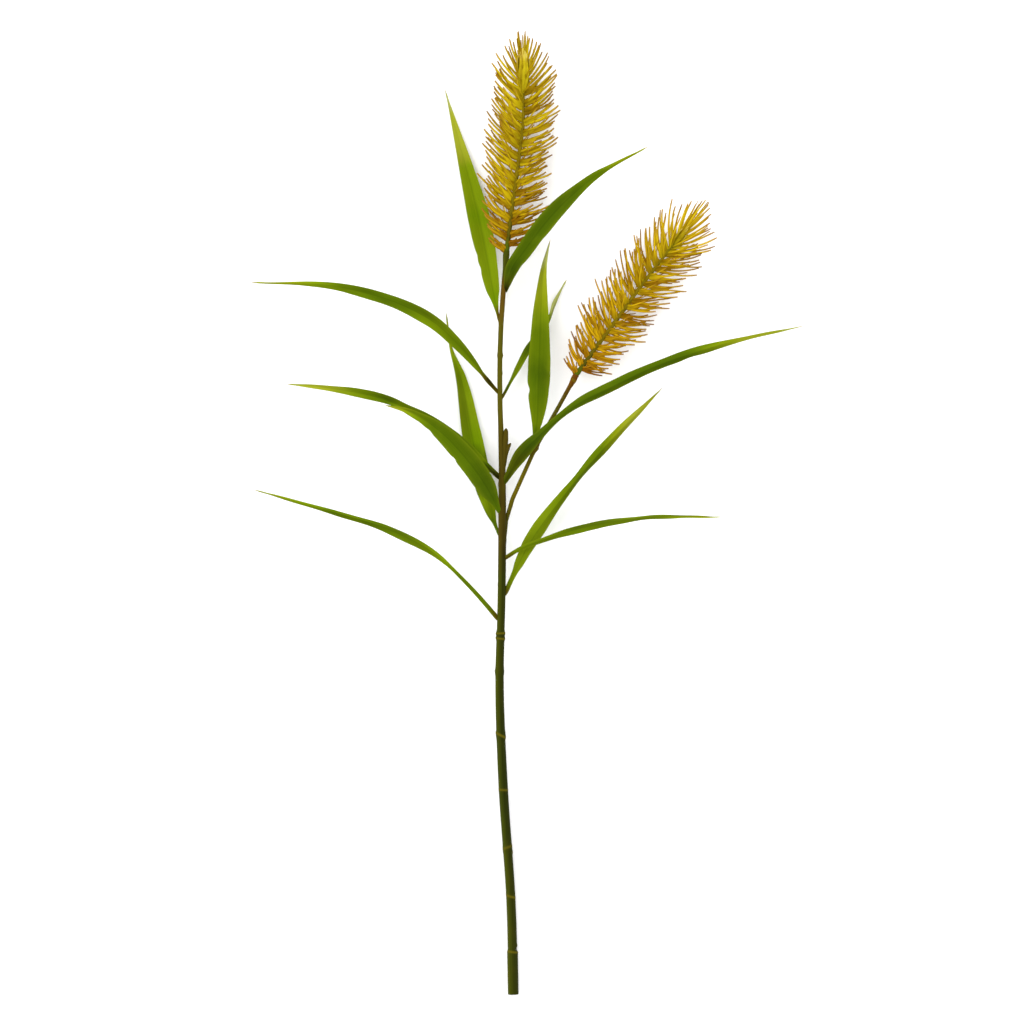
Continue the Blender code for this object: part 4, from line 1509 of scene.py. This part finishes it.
BLADES = (
    Blade(1, LeafKind.LOWER, shades(
        "0 bark, 6 18 meadow, 27 fresh, 35 spring, 42 meadow, 55 leaf, 61 spring, 69 leaf, 80 fresh, "
        "90 lime, 97 pale"),
        ((0.0, -0.1), (0.36, 0.15), (0.46, -0.15), (0.56, 0.3), (0.84, 0.2))),
    Blade(2, LeafKind.LIGHT, shades(
        "0 bark, 4 spring, 10 32 bright, 42 spring, 52 65 meadow, 74 lime, 84 96 yellowing"),
        ((0.0, 0.1), (0.20, 0.0), (0.34, -0.25), (0.60, -0.3), (0.78, -0.25), (0.92, 0.0))),
    Blade(3, LeafKind.LOWER, shades(
        "0 bark, 6 22 spring, 32 45 meadow, 58 bright, 66 spring, 74 bright, 84 lime, 91 pale, "
        "97 yellowing"),
        ((0.0, 0.0), (0.20, -0.25), (0.35, 0.2), (0.60, -0.3), (0.70, -0.1), (0.80, 0.3))),
    Blade(4, LeafKind.LIGHT, shades(
        "0 leaf, 6 shadow, 10 spring, 15 fresh, 20 leaf, 30 shadow, 36 leaf, 41 grass, 53 62 bright, "
        "70 spring, 80 fresh, 90 pale, 97 lime"),
        ((0.0, 0.1), (0.20, -0.2), (0.36, 0.15), (0.60, 0.25), (0.76, 0.1), (0.84, -0.25))),
    Blade(5, LeafKind.LOWER, shades(
        "0 leaf, 8 25 shadow, 38 66 leaf, 74 spring, 80 bright, 85 lime, 92 pale"),
        ((0.0, 0.0), (0.30, -0.12), (0.65, -0.1), (0.80, -0.3), (0.95, -0.1)),
        (Nick(0.46, Side.LEFT, 0.8, 0.02), Nick(0.66, Side.LEFT, 0.6, 0.02))),
    Blade(6, LeafKind.DARK, shades(
        "0 7 dark_sheath, 12 deep, 20 60 shadow, 66 meadow, 71 bright, 76 lime, 81 90 pale, 96 straw"),
        ((0.0, -0.15), (0.25, -0.1), (0.40, -0.25), (0.55, -0.2), (0.70, -0.3), (0.80, 0.0)),
        (Nick(0.64, Side.RIGHT, 1.0, 0.03),)),
    Blade(7, LeafKind.LOWER, shades(
        "0 notch, 3 dark_sheath, 6 deep, 10 spring, 16 leaf, 22 36 shadow, 42 50 spring, 55 shadow, "
        "65 spring, 72 bright, 80 pale, 97 yellowing"),
        ((0.0, 0.2), (0.20, 0.15), (0.40, -0.2), (0.55, -0.3), (0.64, -0.1)),
        (Nick(0.47, Side.RIGHT, 0.9, 0.05), Nick(0.52, Side.LEFT, 1.8, 0.08))),
    Blade(8, LeafKind.LIGHT, shades(
        "0 deep, 6 leaf, 10 spring, 20 meadow, 27 leaf, 35 shadow, 44 55 meadow, 62 bright, 70 lime, "
        "84 pale, 91 straw"),
        ((0.0, 0.0), (0.30, -0.1), (0.60, 0.0), (0.86, 0.25)),
        (Nick(0.27, Side.LEFT, 1.2, 0.02),)),
    Blade(9, LeafKind.LOWER, shades(
        "0 bark, 8 deep, 14 spring, 25 bright, 32 spring, 40 shadow, 50 leaf, 62 meadow, 68 fresh, "
        "74 straw"),
        ((0.0, 0.0), (0.60, 0.0), (0.76, -0.25), (0.90, 0.0))),
    Blade(10, LeafKind.LOWER, shades(
        "0 bark, 4 notch, 6 bark, 10 spring, 15 21 meadow, 32 spring, 42 55 leaf, 65 meadow, 75 fresh, "
        "84 lime, 92 pale, 97 yellowing"),
        ((0.0, -0.3), (0.14, -0.2), (0.24, -0.05), (0.36, -0.3), (0.50, 0.1), (0.57, -0.2), (0.72, 0.2))),
    Blade(11, LeafKind.LIGHT, shades(
        "0 rust, 5 10 grass, 16 36 fresh, 44 grass, 52 60 65 fresh, 70 pale, 76 88 yellowing, 95 straw"),
        ((0.0, 0.0), (0.30, 0.12), (0.50, 0.05), (0.80, 0.0)),
        (Nick(0.22, Side.LEFT, 0.7, 0.02), Nick(0.28, Side.LEFT, 0.6, 0.02))),
    Blade(12, LeafKind.DARK, shades(
        "0 notch, 5 dark_sheath, 10 deep, 16 55 shadow, 62 leaf, 71 meadow, 76 bright, 84 91 lime, "
        "97 yellowing"),
        ((0.0, -0.1), (0.30, 0.05), (0.60, 0.05), (0.78, -0.15)),
        (Nick(0.30, Side.RIGHT, 0.35, 0.03), Nick(0.14, Side.RIGHT, 0.35, 0.03))),
)
HEADS = (
    Head("main_head", "main_spike", 543.0, "main_stem",
         ((7.0, 588.0, 21.0), (13.0, 637.0, 21.5), (13.0, 683.0, 21.5)), 11),
    Head("side_head", "side_spike", 453.0, "side_branch",
         ((79.0, 490.0, 20.5), (104.0, 524.0, 21.0), (132.0, 559.0, 21.0)), 12,
         BristleFinish(low=(0.46, 0.22, 0.003), middle=(0.64, 0.41, 0.004), high=(0.63, 0.45, 0.006)),
         fan=7.0, web_reach=0.40, girth=0.88, side_lean=2.0, bud=Bud(0.88, 19.0, 0.42),
         crest=Bunch(38, (0.83, 0.985), (50.0, 4.0), 36.0), spear=Bunch(4, (0.86, 0.91), (10.0, 4.0), 19.0),
         lean=((0.0, 70.0), (0.1, 65.0), (0.3, 60.0), (0.55, 57.0), (0.75, 49.0), (0.9, 35.0), (1.0, 22.0))),
)


def main() -> None:
    """Builds the studio and then the shoot, from its stem outwards."""
    logging.basicConfig(level=logging.INFO, format="%(message)s")
    studio = Studio()
    studio.lay_table()
    studio.light()
    studio.aim_camera()
    Stalk().build()
    Branch().build()
    blades = np.concatenate([blade.build() for blade in BLADES])
    for head in HEADS:
        head.build(blades)


if __name__ == "__main__":
    main()
